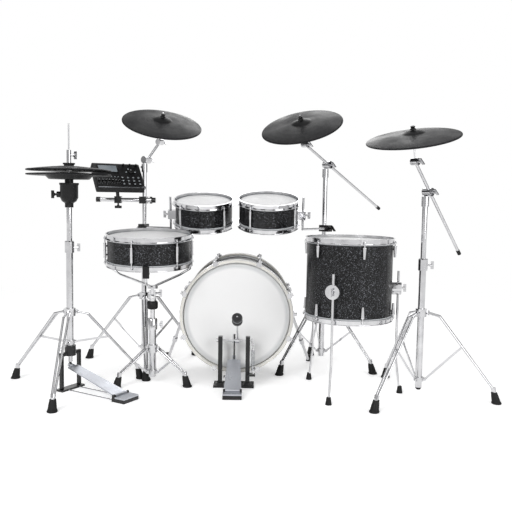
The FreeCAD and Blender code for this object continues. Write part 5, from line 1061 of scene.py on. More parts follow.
@dataclass
class Finishes:
    effects: Effects
    chrome: bpy.types.Material = field(init=False)
    steel: bpy.types.Material = field(init=False)
    plate: bpy.types.Material = field(init=False)
    enamel: bpy.types.Material = field(init=False)
    rubber: bpy.types.Material = field(init=False)
    pad: bpy.types.Material = field(init=False)
    pad_base: bpy.types.Material = field(init=False)
    wrap: bpy.types.Material = field(init=False)
    hoop: bpy.types.Material = field(init=False)
    felt: bpy.types.Material = field(init=False)
    foam: bpy.types.Material = field(init=False)
    case: bpy.types.Material = field(init=False)
    control: bpy.types.Material = field(init=False)
    mark: bpy.types.Material = field(init=False)
    window: bpy.types.Material = field(init=False)
    lamp: bpy.types.Material = field(init=False)
    web: bpy.types.Material = field(init=False)

    def __post_init__(self) -> None:
        for name, finish in (
            ("chrome", Plating("polished_chrome")),
            ("steel", Plating("bare_steel", (0.72, 0.73, 0.75), (0.55, 0.56, 0.58), 0.18, 0.34)),
            ("plate", Brushed("brushed_plate")),
            ("enamel", Moulded("black_enamel", smooth=0.22, rough=0.4, grain=500.0, coat=0.3)),
            ("rubber", Moulded("black_rubber", (0.045, 0.045, 0.048), (0.10, 0.10, 0.10))),
            ("pad", PadRubber("pad_skin")),
            ("pad_base", Moulded("pad_base_plastic", smooth=0.3, rough=0.5, grain=800.0)),
            ("wrap", Sparkle("sparkle_wrap")),
            (
                "hoop",
                Moulded(
                    "white_lacquer", (0.90, 0.89, 0.86), (0.83, 0.82, 0.79), 0.14, 0.3,
                    260.0, 0.00006, 0.2, 0.6,
                ),
            ),
            ("felt", Fuzz("pressed_felt")),
            ("foam", Fuzz("sensor_foam", (0.16, 0.16, 0.17), (0.28, 0.28, 0.29))),
            (
                "case",
                Moulded("case_plastic", (0.065, 0.066, 0.07), (0.11, 0.11, 0.115), 0.4, 0.6,
                        1700.0, 0.0001, 0.4),
            ),
            (
                "control",
                Moulded("soft_touch_plastic", (0.035, 0.035, 0.038), (0.08, 0.08, 0.085), 0.35, 0.5),
            ),
            (
                "mark",
                Moulded("pale_line", (0.78, 0.79, 0.80), (0.62, 0.63, 0.64), 0.4, 0.6,
                        900.0, 0.00003, 0.2),
            ),
            ("window", Glass("display_window")),
            ("lamp", LitKey("pale_key")),
            (
                "web",
                Moulded("woven_strap", (0.05, 0.05, 0.05), (0.13, 0.13, 0.13), 0.7, 0.9,
                        2400.0, 0.0003, 0.7),
            ),
        ):
            setattr(self, name, finish.make(self.effects))

    def head(self, name: str, radius: float) -> bpy.types.Material:
        """A mesh head's material for a drum of that radius in millimetres."""
        # start and end bound the band of painted shade next to the hoop.
        start = (radius - 15) * MILLIMETRE
        end = (radius - 3) * MILLIMETRE
        return WovenHead(name, hoop_shade_start=start, hoop_shade_end=end).make(self.effects)


# Carried-over pieces


@dataclass(frozen=True)
class Accent:
    """One solid of a node, found by the place of its middle, and its finish."""

    at: tuple[float, float, float]
    finish: str


@dataclass(frozen=True)
class Carried:
    """A node whose shape is right: it gets smooth faces, rounded edges and finishes.

    Attributes:
        node: The node's name.
        finish: The finish of its solids.
        slot: The record's slot; it is not used.
        rounding: The rounding of its edges, in millimetres.
    """

    node: str
    finish: str
    slot: Slot
    accents: tuple[Accent, ...] = ()
    rounding: float = 0.4

    def dress(self, source: bpy.types.Object, finishes: Finishes) -> bpy.types.Object:
        """Copies the node's mesh, joins its faces and gives each solid its finish.

        Args:
            source: The node.

        Returns:
            The dressed piece.
        """
        part = bmesh.new()
        part.from_mesh(source.data)
        bmesh.ops.remove_doubles(part, verts=part.verts, dist=2e-6)
        bmesh.ops.dissolve_degenerate(part, edges=part.edges, dist=2e-6)
        bmesh.ops.dissolve_limit(
            part, angle_limit=math.radians(0.6), verts=part.verts, edges=part.edges
        )
        names = [self.finish]
        solids = self.solids(part)
        for accent in self.accents:
            spot = Vector(accent.at) * MILLIMETRE
            nearest = min(solids, key=lambda solid: (solid[0] - spot).length)
            if accent.finish not in names:
                names.append(accent.finish)
            for face in nearest[1]:
                face.material_index = names.index(accent.finish)
        for face in part.faces:
            face.smooth = True
        made = bpy.data.meshes.new(self.node + "_dressed")
        part.to_mesh(made)
        part.free()
        for name in names:
            made.materials.append(getattr(finishes, name))
        made.set_sharp_from_angle(angle=math.radians(38))
        thing = bpy.data.objects.new(self.node + "_dressed", made)
        bpy.context.scene.collection.objects.link(thing)
        if self.rounding:
            bevel = thing.modifiers.new("rounded_edges", "BEVEL")
            bevel.width = self.rounding * MILLIMETRE
            bevel.segments = 2
            bevel.limit_method = "ANGLE"
            bevel.angle_limit = math.radians(48)
            bevel.use_clamp_overlap = True
            bevel.harden_normals = True
        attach(thing, source["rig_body"])
        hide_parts(self.node)
        return thing

    @staticmethod
    def solids(part: bmesh.types.BMesh) -> list[tuple[Vector, list[bmesh.types.BMFace]]]:
        """The separate solids of a mesh.

        Args:
            part: The joined mesh, whose faces all get the first finish.

        Returns:
            The middle and the faces of each solid.
        """
        found = []
        seen: set[int] = set()
        part.faces.index_update()
        for face in part.faces:
            face.material_index = 0
        for first in part.faces:
            if first.index in seen:
                continue
            seen.add(first.index)
            faces, queue = [], [first]
            while queue:
                face = queue.pop()
                faces.append(face)
                for edge in face.edges:
                    for other in edge.link_faces:
                        if other.index not in seen:
                            seen.add(other.index)
                            queue.append(other)
            points = [corner.co for face in faces for corner in face.verts]
            low = Vector([min(point[axis] for point in points) for axis in range(3)])
            high = Vector([max(point[axis] for point in points) for axis in range(3)])
            found.append(((low + high) / 2, faces))
        return found


# Drums


@dataclass
class Drum:
    """A drum's heads, and the small hardware on its hoops and lugs.

    Attributes:
        name: The drum's name.
        body: The body that it rides on.
        place: Its frame, whose Z = 0 is its top edge.
        radius: The shell's radius.
        depth: The shell's depth.
        lugs: The number of lugs round it.
        lug_turn: The first lug's angle.
        bands: The heights of the bands round each lug, from the top edge down.
        band_radius: The radius of those bands.
        film: The thickness of a head's film.
        rod_offset: How far the tension rods stand off the shell.
    """

    name: str
    body: str
    place: Matrix
    radius: float
    depth: float
    lugs: int
    lug_turn: float
    bands: tuple[float, ...]
    band_radius: float = 6.6
    film: float = 1.0
    rod_offset: float = 9.3

    def outline(self) -> list[tuple[float, float]]:
        """A head's section: its film, its collar and the ring under the hoop."""
        inner, collar, ring = self.radius + 0.05, self.radius + 1.05, self.radius + 4.35
        return [
            (0.0, 0.05),
            (inner - 4, 0.05),
            (inner, -0.9),
            (inner, -12.0),
            (ring, -12.0),
            (ring, -8.0),
            (collar, -8.0),
            (collar, -0.6),
            (collar - 4, 0.05 + self.film),
            (0.0, 0.05 + self.film),
        ]

    def heads(self, finishes: Finishes) -> None:
        """Builds the top and the bottom head."""
        woven = finishes.head(self.name + "_mesh", self.radius)
        shape = Shape()
        shape.turned(self.outline(), woven, corner=1.6, sides=144)
        flipped = [(radius, -self.depth - height) for radius, height in self.outline()]
        shape.turned(flipped, woven, corner=1.6, sides=144)
        shape.finish(
            self.name + "_mesh_heads", self.place, self.body, Slot.HEAD, [self.name + "_heads"]
        )

    def keys(self, finishes: Finishes, jigs: Jigs) -> None:
        """Builds the rods' washers and square heads, and the bands on the lugs."""
        at = self.radius + self.rod_offset
        detail = Shape()
        for edge, way in ((0.0, 1.0), (-self.depth, -1.0)):
            level = edge - way * 5.6
            low, high = sorted((level + way * 0.02, level + way * 1.3))
            detail.turned(
                ((4.7, low), (6.6, low), (6.6, high), (4.7, high)),
                finishes.steel,
                Matrix.Translation((at, 0, 0)),
                0.3,
                24,
            )
            middle = level + way * 8.2
            detail.block((at, 0, middle), (5.0, 5.0, 5.0), finishes.chrome, 0.7)
        for band in self.bands:
            detail.turned(
                (
                    (self.band_radius - 1.4, -band - 1.6),
                    (self.band_radius, -band - 1.6),
                    (self.band_radius, -band + 1.6),
                    (self.band_radius - 1.4, -band + 1.6),
                ),
                finishes.chrome,
                Matrix.Translation((at, 0, 0)),
                0.6,
                28,
            )
        grown = jigs.round.grow(
            detail.single(),
            finishes.chrome,
            Count=self.lugs,
            First_Angle=math.radians(self.lug_turn),
        )
        ring = Shape().take_mesh(grown, finishes.chrome)
        ring.finish(self.name + "_rod_keys", self.place, self.body, Slot.HARDWARE)

    def build(self, finishes: Finishes, jigs: Jigs) -> None:
        """Builds the drum's pieces."""
        self.heads(finishes)
        self.keys(finishes, jigs)


@dataclass
class KickDrum:
    """The kick drum's heads, lacquered hoops and claw keys."""

    place: Matrix
    radius: float = 229.0
    depth: float = 330.0
    inset: float = 14.0
    hoop_inner: float = 230.8
    hoop_outer: float = 244.8
    hoop_width: float = 38.0
    rebate: float = 6.2
    claws: int = 8
    claw_turn: float = 22.5
    body: str = "floor_standing_parts"

    def heads(self, finishes: Finishes) -> None:
        """Builds the batter and the front head."""
        coated = WovenHead(
            "coated_film",
            colour=(0.94, 0.94, 0.94),
            # Painted shade in the gaps of the weave.
            thread=(0.90, 0.90, 0.90),
            # Painted shade next to the hoop: a grey band from 26 mm to 14 mm inside the edge.
            hoop_shade=(0.83, 0.835, 0.84),
            hoop_shade_start=(self.radius - 26) * MILLIMETRE,
            hoop_shade_end=(self.radius - 14) * MILLIMETRE,
            pitch=0.0009,
            depth=0.00012,
        ).make(finishes.effects)
        inner, collar, ring = self.radius + 0.05, self.radius + 1.05, self.radius + 7.05
        outline = [
            (0.0, 0.05),
            (inner - 5, 0.05),
            (inner, -1.0),
            (inner, -20.0),
            (ring, -20.0),
            (ring, -8.0),
            (collar, -8.0),
            (collar, -0.8),
            (collar - 5, 1.05),
            (0.0, 1.05),
        ]
        shape = Shape()
        shape.turned(outline, coated, corner=1.8, sides=160)
        flipped = [(radius, -self.depth - height) for radius, height in outline]
        shape.turned(flipped, coated, corner=1.8, sides=160)
        for side in (1.0, -1.0):
            at = Matrix.Translation((0, 0, 1.05 if side > 0 else -self.depth - 1.05))
            shape.turned(
                (
                    (self.radius - 16, -0.2),
                    (self.radius - 13, -0.2),
                    (self.radius - 13, side * 0.7),
                    (self.radius - 16, side * 0.7),
                ),
                coated,
                at,
                0.3,
                160,
            )
        shape.finish("kick_coated_heads", self.place, self.body, Slot.KICK_HEAD, ["kick_heads"])

    def hoops(self, finishes: Finishes) -> None:
        """Builds the two hoops, each with two thin bright lines."""
        shape = Shape()
        for edge, way in ((0.0, 1.0), (-self.depth, -1.0)):
            face, rear = edge + way * self.inset, edge + way * (self.inset - self.hoop_width)
            step = edge - way * 7.95
            shape.turned(
                (
                    (self.hoop_inner, face),
                    (self.hoop_outer, face),
                    (self.hoop_outer, rear),
                    (self.hoop_inner + self.rebate, rear),
                    (self.hoop_inner + self.rebate, step),
                    (self.hoop_inner, step),
                ),
                finishes.hoop,
                corner=2.2,
                sides=160,
            )
            for far in (5.0, self.hoop_width - 5.0):
                line = face - way * far
                shape.turned(
                    (
                        (self.hoop_outer - 0.6, line - 1.5),
                        (self.hoop_outer + 0.3, line - 1.5),
                        (self.hoop_outer + 0.3, line + 1.5),
                        (self.hoop_outer - 0.6, line + 1.5),
                    ),
                    finishes.chrome,
                    corner=0.4,
                    sides=160,
                )
            low, high = sorted((face - way * 0.6, face + way * 0.3))
            for ring in (self.hoop_inner + 1.2, self.hoop_outer - 2.4):
                shape.turned(
                    ((ring, low), (ring + 1.6, low), (ring + 1.6, high), (ring, high)),
                    finishes.chrome,
                    corner=0.3,
                    sides=160,
                )
        shape.finish("kick_lacquered_hoops", self.place, self.body, Slot.KICK_HOOP, ["kick_hoops"])

    def keys(self, finishes: Finishes, jigs: Jigs) -> None:
        """Builds the claws' washers, keys and the lugs' bands."""
        at = self.hoop_outer + 8
        half = -self.depth / 2
        detail = Shape()
        for edge, way in ((0.0, 1.0), (-self.depth, -1.0)):
            face = edge + way * self.inset
            detail.block((at, 0, face + way * 0.4), (5.0, 5.0, 4.8), finishes.chrome, 0.7)
            detail.turned(
                (
                    (3.2, face - way * 22.5),
                    (6.4, face - way * 22.5),
                    (6.4, face - way * 20.5),
                    (3.2, face - way * 20.5),
                ),
                finishes.chrome,
                Matrix.Translation((at, 0, 0)),
                0.4,
                24,
            )
        for level in (half - 26, half + 26, half):
            detail.turned(
                ((6.0, level - 1.7), (8.0, level - 1.7), (8.0, level + 1.7), (6.0, level + 1.7)),
                finishes.chrome,
                Matrix.Translation((at, 0, 0)),
                0.6,
                28,
            )
        grown = jigs.round.grow(
            detail.single(),
            finishes.chrome,
            Count=self.claws,
            First_Angle=math.radians(self.claw_turn),
        )
        Shape().take_mesh(grown, finishes.chrome).finish(
            "kick_claw_keys", self.place, self.body, Slot.HARDWARE
        )

    def build(self, finishes: Finishes, jigs: Jigs) -> None:
        """Builds the kick drum's pieces."""
        self.heads(finishes)
        self.hoops(finishes)
        self.keys(finishes, jigs)


# Pads


@dataclass
class CymbalPad:
    """A bowed rubber pad with a bell, its skin over a plastic base."""

    name: str
    node: str
    body: str
    place: Matrix
    radius: float = 181.0
    bell: float = 46.0
    bore: float = 5.0

    def top(self) -> list[tuple[float, float]]:
        """The skin's upper line from the hole out to the edge."""
        bell, wide = self.bell, self.radius
        return [
            (self.bore, 4.5),
            (14.0, 4.5),
            (bell * 0.45, 2.9),
            (bell * 0.62, 0.3),
            (bell * 0.80, -3.4),
            (bell * 0.92, -6.5),
            (bell * 1.02, -7.4),
            (bell * 1.12, -7.7),
            (wide * 0.45, -9.2),
            (wide * 0.62, -12.1),
            (wide * 0.78, -16.4),
            (wide * 0.90, -20.6),
            (wide * 0.955, -22.9),
            (wide * 0.965, -23.2),
            (wide * 0.985, -24.6),
        ]

    def build(self, finishes: Finishes) -> None:
        """Builds the skin and the base."""
        wide, bell = self.radius, self.bell
        upper = self.top()
        inside = [(radius, height - 2.6) for radius, height in reversed(upper[:-2])]
        skin = upper + [(wide, -26.0), (wide, -29.5), (wide * 0.97, -29.5), *inside]
        base = [
            *[(radius, height - 2.6) for radius, height in upper[:-2]],
            (wide * 0.97, -29.3),
            (wide * 0.95, -29.3),
            (wide * 0.6, -20.7),
            (bell, -16.5),
            (bell * 0.5, -6.9),
            (bell * 0.4, -4.5),
            (self.bore, -4.5),
        ]
        shape = Shape()
        shape.turned(skin, finishes.pad, corner=3.0, sides=128)
        shape.turned(base, finishes.pad_base, corner=1.5, sides=128)
        shape.finish(self.name, self.place, self.body, Slot.PAD, [self.node], 60.0)


@dataclass
class HiHatPads:
    """The hi-hat's upper and lower pad and the base under them."""

    place: Matrix
    radius: float = 168.0
    bore: float = 7.0
    top_level: float = 896.0

    def build(self, finishes: Finishes) -> None:
        """Builds the moving upper pad and the fixed lower one."""
        wide, level = self.radius, self.top_level
        upper = Shape().turned(
            (
                (self.bore, level + 11.5),
                (wide * 0.18, level + 11.5),
                (wide * 0.36, level + 8.5),
                (wide * 0.70, level + 4.0),
                (wide * 0.96, level),
                (wide, level + 1.0),
                (wide, level + 6.0),
                (wide * 0.955, level + 7.6),
                (wide * 0.95, level + 7.3),
                (wide * 0.86, level + 9.4),
                (wide * 0.66, level + 13.6),
                (wide * 0.40, level + 18.0),
                (wide * 0.27, level + 19.4),
                (wide * 0.25, level + 20.4),
                (wide * 0.18, level + 21.0),
                (self.bore, level + 21.0),
            ),
            finishes.pad,
            corner=2.2,
            sides=128,
        )
        upper.finish(
            "hihat_upper_pad", self.place, "hihat_top", Slot.PAD, ["hihat_top_cymbal"], 60.0
        )
        foot = 863.05
        lower = Shape().turned(
            (
                (self.bore, foot),
                (wide * 0.47, foot),
                (wide * 0.50, foot + 4),
                (wide * 0.57, foot + 16.5),
                (wide * 0.57, foot + 19.95),
                (self.bore, foot + 19.95),
            ),
            finishes.pad_base,
            corner=1.4,
        )
        lower.turned(
            (
                (wide * 0.13, 883.05),
                (wide * 0.57, 883.05),
                (wide * 0.96, 878.0),
                (wide, 879.2),
                (wide, 884.0),
                (wide * 0.96, 884.9),
                (wide * 0.80, 886.5),
                (wide * 0.40, 890.0),
                (wide * 0.13, 890.5),
            ),
            finishes.pad,
            corner=2.0,
            sides=128,
        )
        lower.finish(
            "hihat_lower_pad", self.place, "hihat_upper", Slot.PAD, ["hihat_bottom_cymbal"], 60.0
        )


# Feet and pedals


@dataclass
class TripodFeet:
    """The ribbed rubber boots of the five stands."""

    stands: tuple[tuple[float, float, float, float], ...]
    radius: float = 20.0
    neck: float = 12.5
    height: float = 46.0
    lean: float = 12.0

    def build(self, finishes: Finishes, jigs: Jigs) -> None:
        """Builds a boot at the end of each leg.

        Args:
            jigs: The geometry node trees.
        """
        boots = Shape()
        shear = Matrix.Identity(4)
        shear[0][2] = -self.lean / self.height
        for x, y, turn, reach in self.stands:
            for third in range(3):
                at = (
                    Matrix.Translation(Vector((x, y, 0)) + PLAN_ORIGIN)
                    @ turning(turn + 120 * third, "Z")
                    @ Matrix.Translation((reach, 0, 0))
                )
                self.boot(boots, finishes, jigs, at, shear)
        boots.finish(
            "ribbed_boots",
            Matrix.Scale(MILLIMETRE, 4),
            "floor_standing_parts",
            Slot.RUBBER,
            ["stand_feet"],
            60.0,
        )

    def boot(
        self, boots: Shape, finishes: Finishes, jigs: Jigs, at: Matrix, shear: Matrix
    ) -> None:
        """Adds one boot: its flared body and its ribs."""
        wide, neck, tall = self.radius, self.neck, self.height
        boots.turned(
            (
                (0.0, 0.0),
                (wide - 1.5, 0.0),
                (wide, 2.0),
                (wide, 6.0),
                (wide * 0.84, 10.0),
                (wide * 0.76, tall * 0.6),
                (neck + 0.5, tall * 0.86),
                (neck, tall),
                (9.0, tall),
                (9.0, tall - 3),
                (0.0, tall - 3),
            ),
            finishes.rubber,
            at @ shear,
            1.2,
            40,
        )
        step = 5.6
        ribs = jigs.ridges.grow(
            bpy.data.meshes.new("seed"),
            finishes.rubber,
            Count=5,
            Low_Radius=wide * 0.80,
            Taper=0.045,
            Foot=(0.0, 0.0, 12.0),
            Step=(0.0, 0.0, step),
            Thickness=1.5,
        )
        part = bmesh.new()
        part.from_mesh(ribs)
        bpy.data.meshes.remove(ribs)
        boots.take(part, finishes.rubber, at @ shear)


@dataclass
class KickPedal:
    """The kick pedal's beater head and its return spring."""

    place: Matrix
    axle: tuple[float, float, float] = (143.0, 0.0, 200.0)
    lean: float = 44.0
    reach: float = 150.0
    head_radius: float = 22.0
    head_height: float = 46.0
    coil_at: tuple[float, float, float] = (125.09, -81.0, 76.0)
    coil_radius: float = 7.0
    coil_height: float = 88.0
    wire: float = 1.1
    turns: float = 16.0

    def beater(self, finishes: Finishes) -> None:
        """Builds the felt head and its collars."""
        lean = math.radians(self.lean)
        aim = Vector((-math.sin(lean), 0, math.cos(lean)))
        middle = Vector(self.axle) + Vector((0, -14, 0)) + aim * self.reach
        wide, half = self.head_radius, self.head_height / 2
        shape = Shape().turned(
            (
                (3.1, -half),
                (wide * 0.72, -half),
                (wide * 0.93, -half * 0.80),
                (wide, -half * 0.5),
                (wide * 0.98, -half * 0.24),
                (wide * 0.86, 0.0),
                (wide * 0.98, half * 0.24),
                (wide, half * 0.5),
                (wide * 0.93, half * 0.80),
                (wide * 0.72, half),
                (3.1, half),
            ),
            finishes.felt,
            aimed(middle, aim),
            2.6,
            48,
        )
        shape.turned(
            ((wide * 0.84, -1.6), (wide * 0.89, -1.6), (wide * 0.89, 1.6), (wide * 0.84, 1.6)),
            finishes.steel,
            aimed(middle, aim),
            0.5,
            48,
        )
        shape.finish(
            "kick_beater_felt", self.place, "kick_beater", Slot.FELT, ["kick_beater_head"], 60.0
        )

    def spring(self, finishes: Finishes, jigs: Jigs) -> None:
        """Builds the wound spring, its two plugs and the eye on its rod."""
        x, y, foot = self.coil_at
        top = foot + self.coil_height
        core = self.coil_radius - self.wire - 0.5
        coil = jigs.coil.grow(
            bpy.data.meshes.new("seed"),
            finishes.steel,
            Turns=self.turns,
            Radius=self.coil_radius,
            Height=self.coil_height,
            Wire_Radius=self.wire,
        )
        part = bmesh.new()
        part.from_mesh(coil)
        bpy.data.meshes.remove(coil)
        bmesh.ops.recalc_face_normals(part, faces=part.faces)
        shape = Shape()
        shape.take(part, finishes.steel, Matrix.Translation((x, y, foot)))
        shape.rod((x, y, 60.05), (x, y, foot + 9), core, finishes.chrome)
        shape.rod((x, y, top - 9), (x, y, top + 8), core, finishes.chrome)
        shape.rod((x, y, top + 7), (x, y, 182.0), 2.5, finishes.chrome)
        shape.turned(
            ((2.65, -3.0), (6.0, -3.0), (6.0, 3.0), (2.65, 3.0)),
            finishes.chrome,
            Matrix.Translation((x, y, 187.22)) @ turning(90, "X"),
            0.8,
            32,
        )
        shape.finish(
            "kick_wound_spring",
            self.place,
            "floor_standing_parts",
            Slot.HARDWARE,
            ["kick_pedal_spring"],
            60.0,
        )

    def build(self, finishes: Finishes, jigs: Jigs) -> None:
        """Builds the pedal's pieces."""
        self.beater(finishes)
        self.spring(finishes, jigs)


# Sound module


@dataclass
class SoundModule:
    """The module's display frame, knobs, faders, keys and panel lines."""

    place: Matrix
    width: float = 222.0
    depth: float = 150.0
    screen: tuple[float, float] = (84.0, 40.0)
    dial_radius: float = 14.0
    knob_radius: float = 6.0
    fader_pitch: float = 15.5
    fader_travel: float = 36.0
    key_pitch: tuple[float, float] = (25.0, 19.0)
    key: tuple[float, float] = (14.3, 8.8)
    key_lamp: tuple[float, float, float] = (7.4, 3.6, 0.6)
    fader_lamp: tuple[float, float, float] = (5.0, 2.4, 0.8)
    dial_mark: tuple[float, float, float] = (6.0, 4.2, 1.0)
    dial_mark_angles: tuple[float, ...] = (4, 112, 178)
    lamp_clearance: float = 7.0
    edge_line: tuple[float, float] = (3.4, 1.8)

    @staticmethod
    def in_row(
        jigs: Jigs, seed: Shape, finish: bpy.types.Material, count: int, pitch: float
    ) -> bpy.types.Mesh:
        """Repeats one piece along the panel.

        Args:
            jigs: The geometry node trees.
            seed: The first piece.
            finish: Its material.
            count: The number of pieces.
            pitch: The distance from one to the next.

        Returns:
            The row as one mesh.
        """
        return jigs.row.grow(seed.single(), finish, Count=count, Step=(pitch, 0.0, 0.0))

    def knurled(
        self, finishes: Finishes, jigs: Jigs, radius: float, height: float, low: float, ridges: int
    ) -> Shape:
        """A round knob with ridges round it and a pale pointer line.

        Args:
            jigs: The geometry node trees.
            radius: Its radius at the foot.
            height: Its height.
            low: The height of its foot over the panel.
            ridges: The number of ridges.

        Returns:
            The knob at the panel's origin.
        """
        top = low + height
        shape = Shape().turned(
            (
                (0.0, low),
                (radius * 0.94, low),
                (radius * 0.80, top - 1.2),
                (radius * 0.72, top),
                (radius * 0.6, top - 0.5),
                (0.0, top - 0.5),
            ),
            finishes.control,
            corner=0.7,
            sides=48,
        )
        ridge = Shape().rod(
            (radius * 0.93, 0, low + 0.5), (radius * 0.79, 0, top - 1.6), radius * 0.055,
            finishes.control, 8, 0.2,
        )
        grown = jigs.round.grow(ridge.single(), finishes.control, Count=ridges, First_Angle=0.0)
        shape.take_mesh(grown, finishes.control)
        shape.block(
            (0, radius * 0.42, top - 0.35), (radius * 0.1, radius * 0.5, 0.5), finishes.mark, 0.1
        )
        return shape

    def panel(self, finishes: Finishes, jigs: Jigs) -> None:
        """Builds the display's frame, the fader slots' scales, the lamps and the edge rail."""
        shape = Shape()
        x, y = -0.19 * self.width, 0.28 * self.depth
        wide, tall = self.screen
        for dx, dy, sx, sy in (
            (0, tall / 2 + 3, wide + 12, 6),
            (0, -tall / 2 - 3, wide + 12, 6),
            (-wide / 2 - 3, 0, 6, tall + 2),
            (wide / 2 + 3, 0, 6, tall + 2),
        ):
            shape.block((x + dx, y + dy, 0.5), (sx, sy, 1.6), finishes.control, 0.5)
        left = -0.225 * self.width - 3 * self.fader_pitch
        for side in (-1.0, 1.0):
            tick = Shape().block(
                (left + side * 3.6, -0.22 * self.depth - self.fader_travel / 2, 0.08),
                (2.2, 0.5, 0.3),
                finishes.mark,
                0.08,
                1,
            )
            ticks = jigs.row.grow(
                tick.single(), finishes.mark, Count=7, Step=(0.0, self.fader_travel / 6, 0.0)
            )
            columns = jigs.row.grow(
                ticks, finishes.mark, Count=7, Step=(self.fader_pitch, 0.0, 0.0)
            )
            shape.take_mesh(columns, finishes.mark)
        key_x, key_y = 0.065 * self.width, -0.095 * self.depth
        for row in range(3):
            level = key_y - row * self.key_pitch[1] + 7.4
            line = Shape().block((key_x, level, 0.08), (9.0, 0.7, 0.3), finishes.mark, 0.08, 1)
            lines = jigs.row.grow(
                line.single(), finishes.mark, Count=4, Step=(self.key_pitch[0], 0.0, 0.0)
            )
            shape.take_mesh(lines, finishes.mark)
        lamp_y = -0.22 * self.depth + self.fader_travel / 2 + self.lamp_clearance
        lamp = Shape().block((left, lamp_y, 0.2), self.fader_lamp, finishes.lamp, 0.2, 1)
        lamps = self.in_row(jigs, lamp, finishes.lamp, 7, self.fader_pitch)
        shape.take_mesh(lamps, finishes.lamp)
        dial = Vector((0.275 * self.width, 0.15 * self.depth, 0.2))
        for angle in self.dial_mark_angles:
            out = Vector((self.dial_radius + self.lamp_clearance, 0, 0))
            spot = dial + turning(angle, "Z") @ out
            shape.block(spot, self.dial_mark, finishes.lamp, 0.3, 1)
        edge = (self.width - 8, *self.edge_line)
        shape.block((0, 3.5 - self.depth / 2, 0.9), edge, finishes.steel, 0.7)
        shape.finish("module_panel_details", self.place, "module", Slot.CONTROLS)

    def controls(self, finishes: Finishes, jigs: Jigs) -> None:
        """Builds the dial, the three knobs, the fader caps and the keys."""
        dial = self.knurled(finishes, jigs, self.dial_radius, 9.0, 0.4, 40)
        dial.rod((0, 0, -11), (0, 0, 1), 4.0, finishes.steel)
        at = Matrix.Translation((0.275 * self.width, 0.15 * self.depth, 0))
        dial.finish("module_ridged_dial", self.place @ at, "dial", Slot.CONTROLS, ["module_dial"])
        for number in range(3):
            knob = self.knurled(finishes, jigs, self.knob_radius, 10.0, 0.05, 22)
            spot = ((0.15 + 0.135 * number) * self.width, 0.42 * self.depth, 0)
            replaced = ["module_knobs"] if number == 0 else []
            knob.finish(
                "module_ridged_knob_%d" % (number + 1),
                self.place @ Matrix.Translation(spot),
                "module",
                Slot.CONTROLS,
                replaced,
            )
        left = -0.225 * self.width - 3 * self.fader_pitch
        seed = Shape()
        middle = -0.22 * self.depth
        seed.block((left, middle, 4.4), (8.4, 6.0, 8.0), finishes.control, 1.1)
        seed.block((left, middle, -1.5), (2.4, 4.0, 7.0), finishes.control, 0.4)
        caps = self.in_row(jigs, seed, finishes.control, 7, self.fader_pitch)
        faders = Shape().take_mesh(caps, finishes.control)
        line = Shape().block((left, middle, 8.4), (7.0, 0.9, 0.3), finishes.mark, 0.1, 1)
        lines = self.in_row(jigs, line, finishes.mark, 7, self.fader_pitch)
        faders.take_mesh(lines, finishes.mark)
        faders.finish(
            "module_fader_caps", self.place, "faders", Slot.CONTROLS, ["module_faders"]
        )
        keys = Shape()
        x, y = 0.065 * self.width, -0.095 * self.depth
        for row in range(3):
            level = y - row * self.key_pitch[1]
            for middle, size, finish in (
                ((x, level, -0.75), (*self.key, 6.5), finishes.control),
                ((x, level, 2.45), self.key_lamp, finishes.lamp),
            ):
                key = Shape().block(middle, size, finish, min(size) * 0.18)
                keys.take_mesh(self.in_row(jigs, key, finish, 4, self.key_pitch[0]), finish)
        keys.finish(
            "module_lit_keys", self.place, "buttons", Slot.LIT_BUTTONS, ["module_buttons"]
        )

    def build(self, finishes: Finishes, jigs: Jigs) -> None:
        """Builds the module's pieces."""
        self.panel(finishes, jigs)
        self.controls(finishes, jigs)



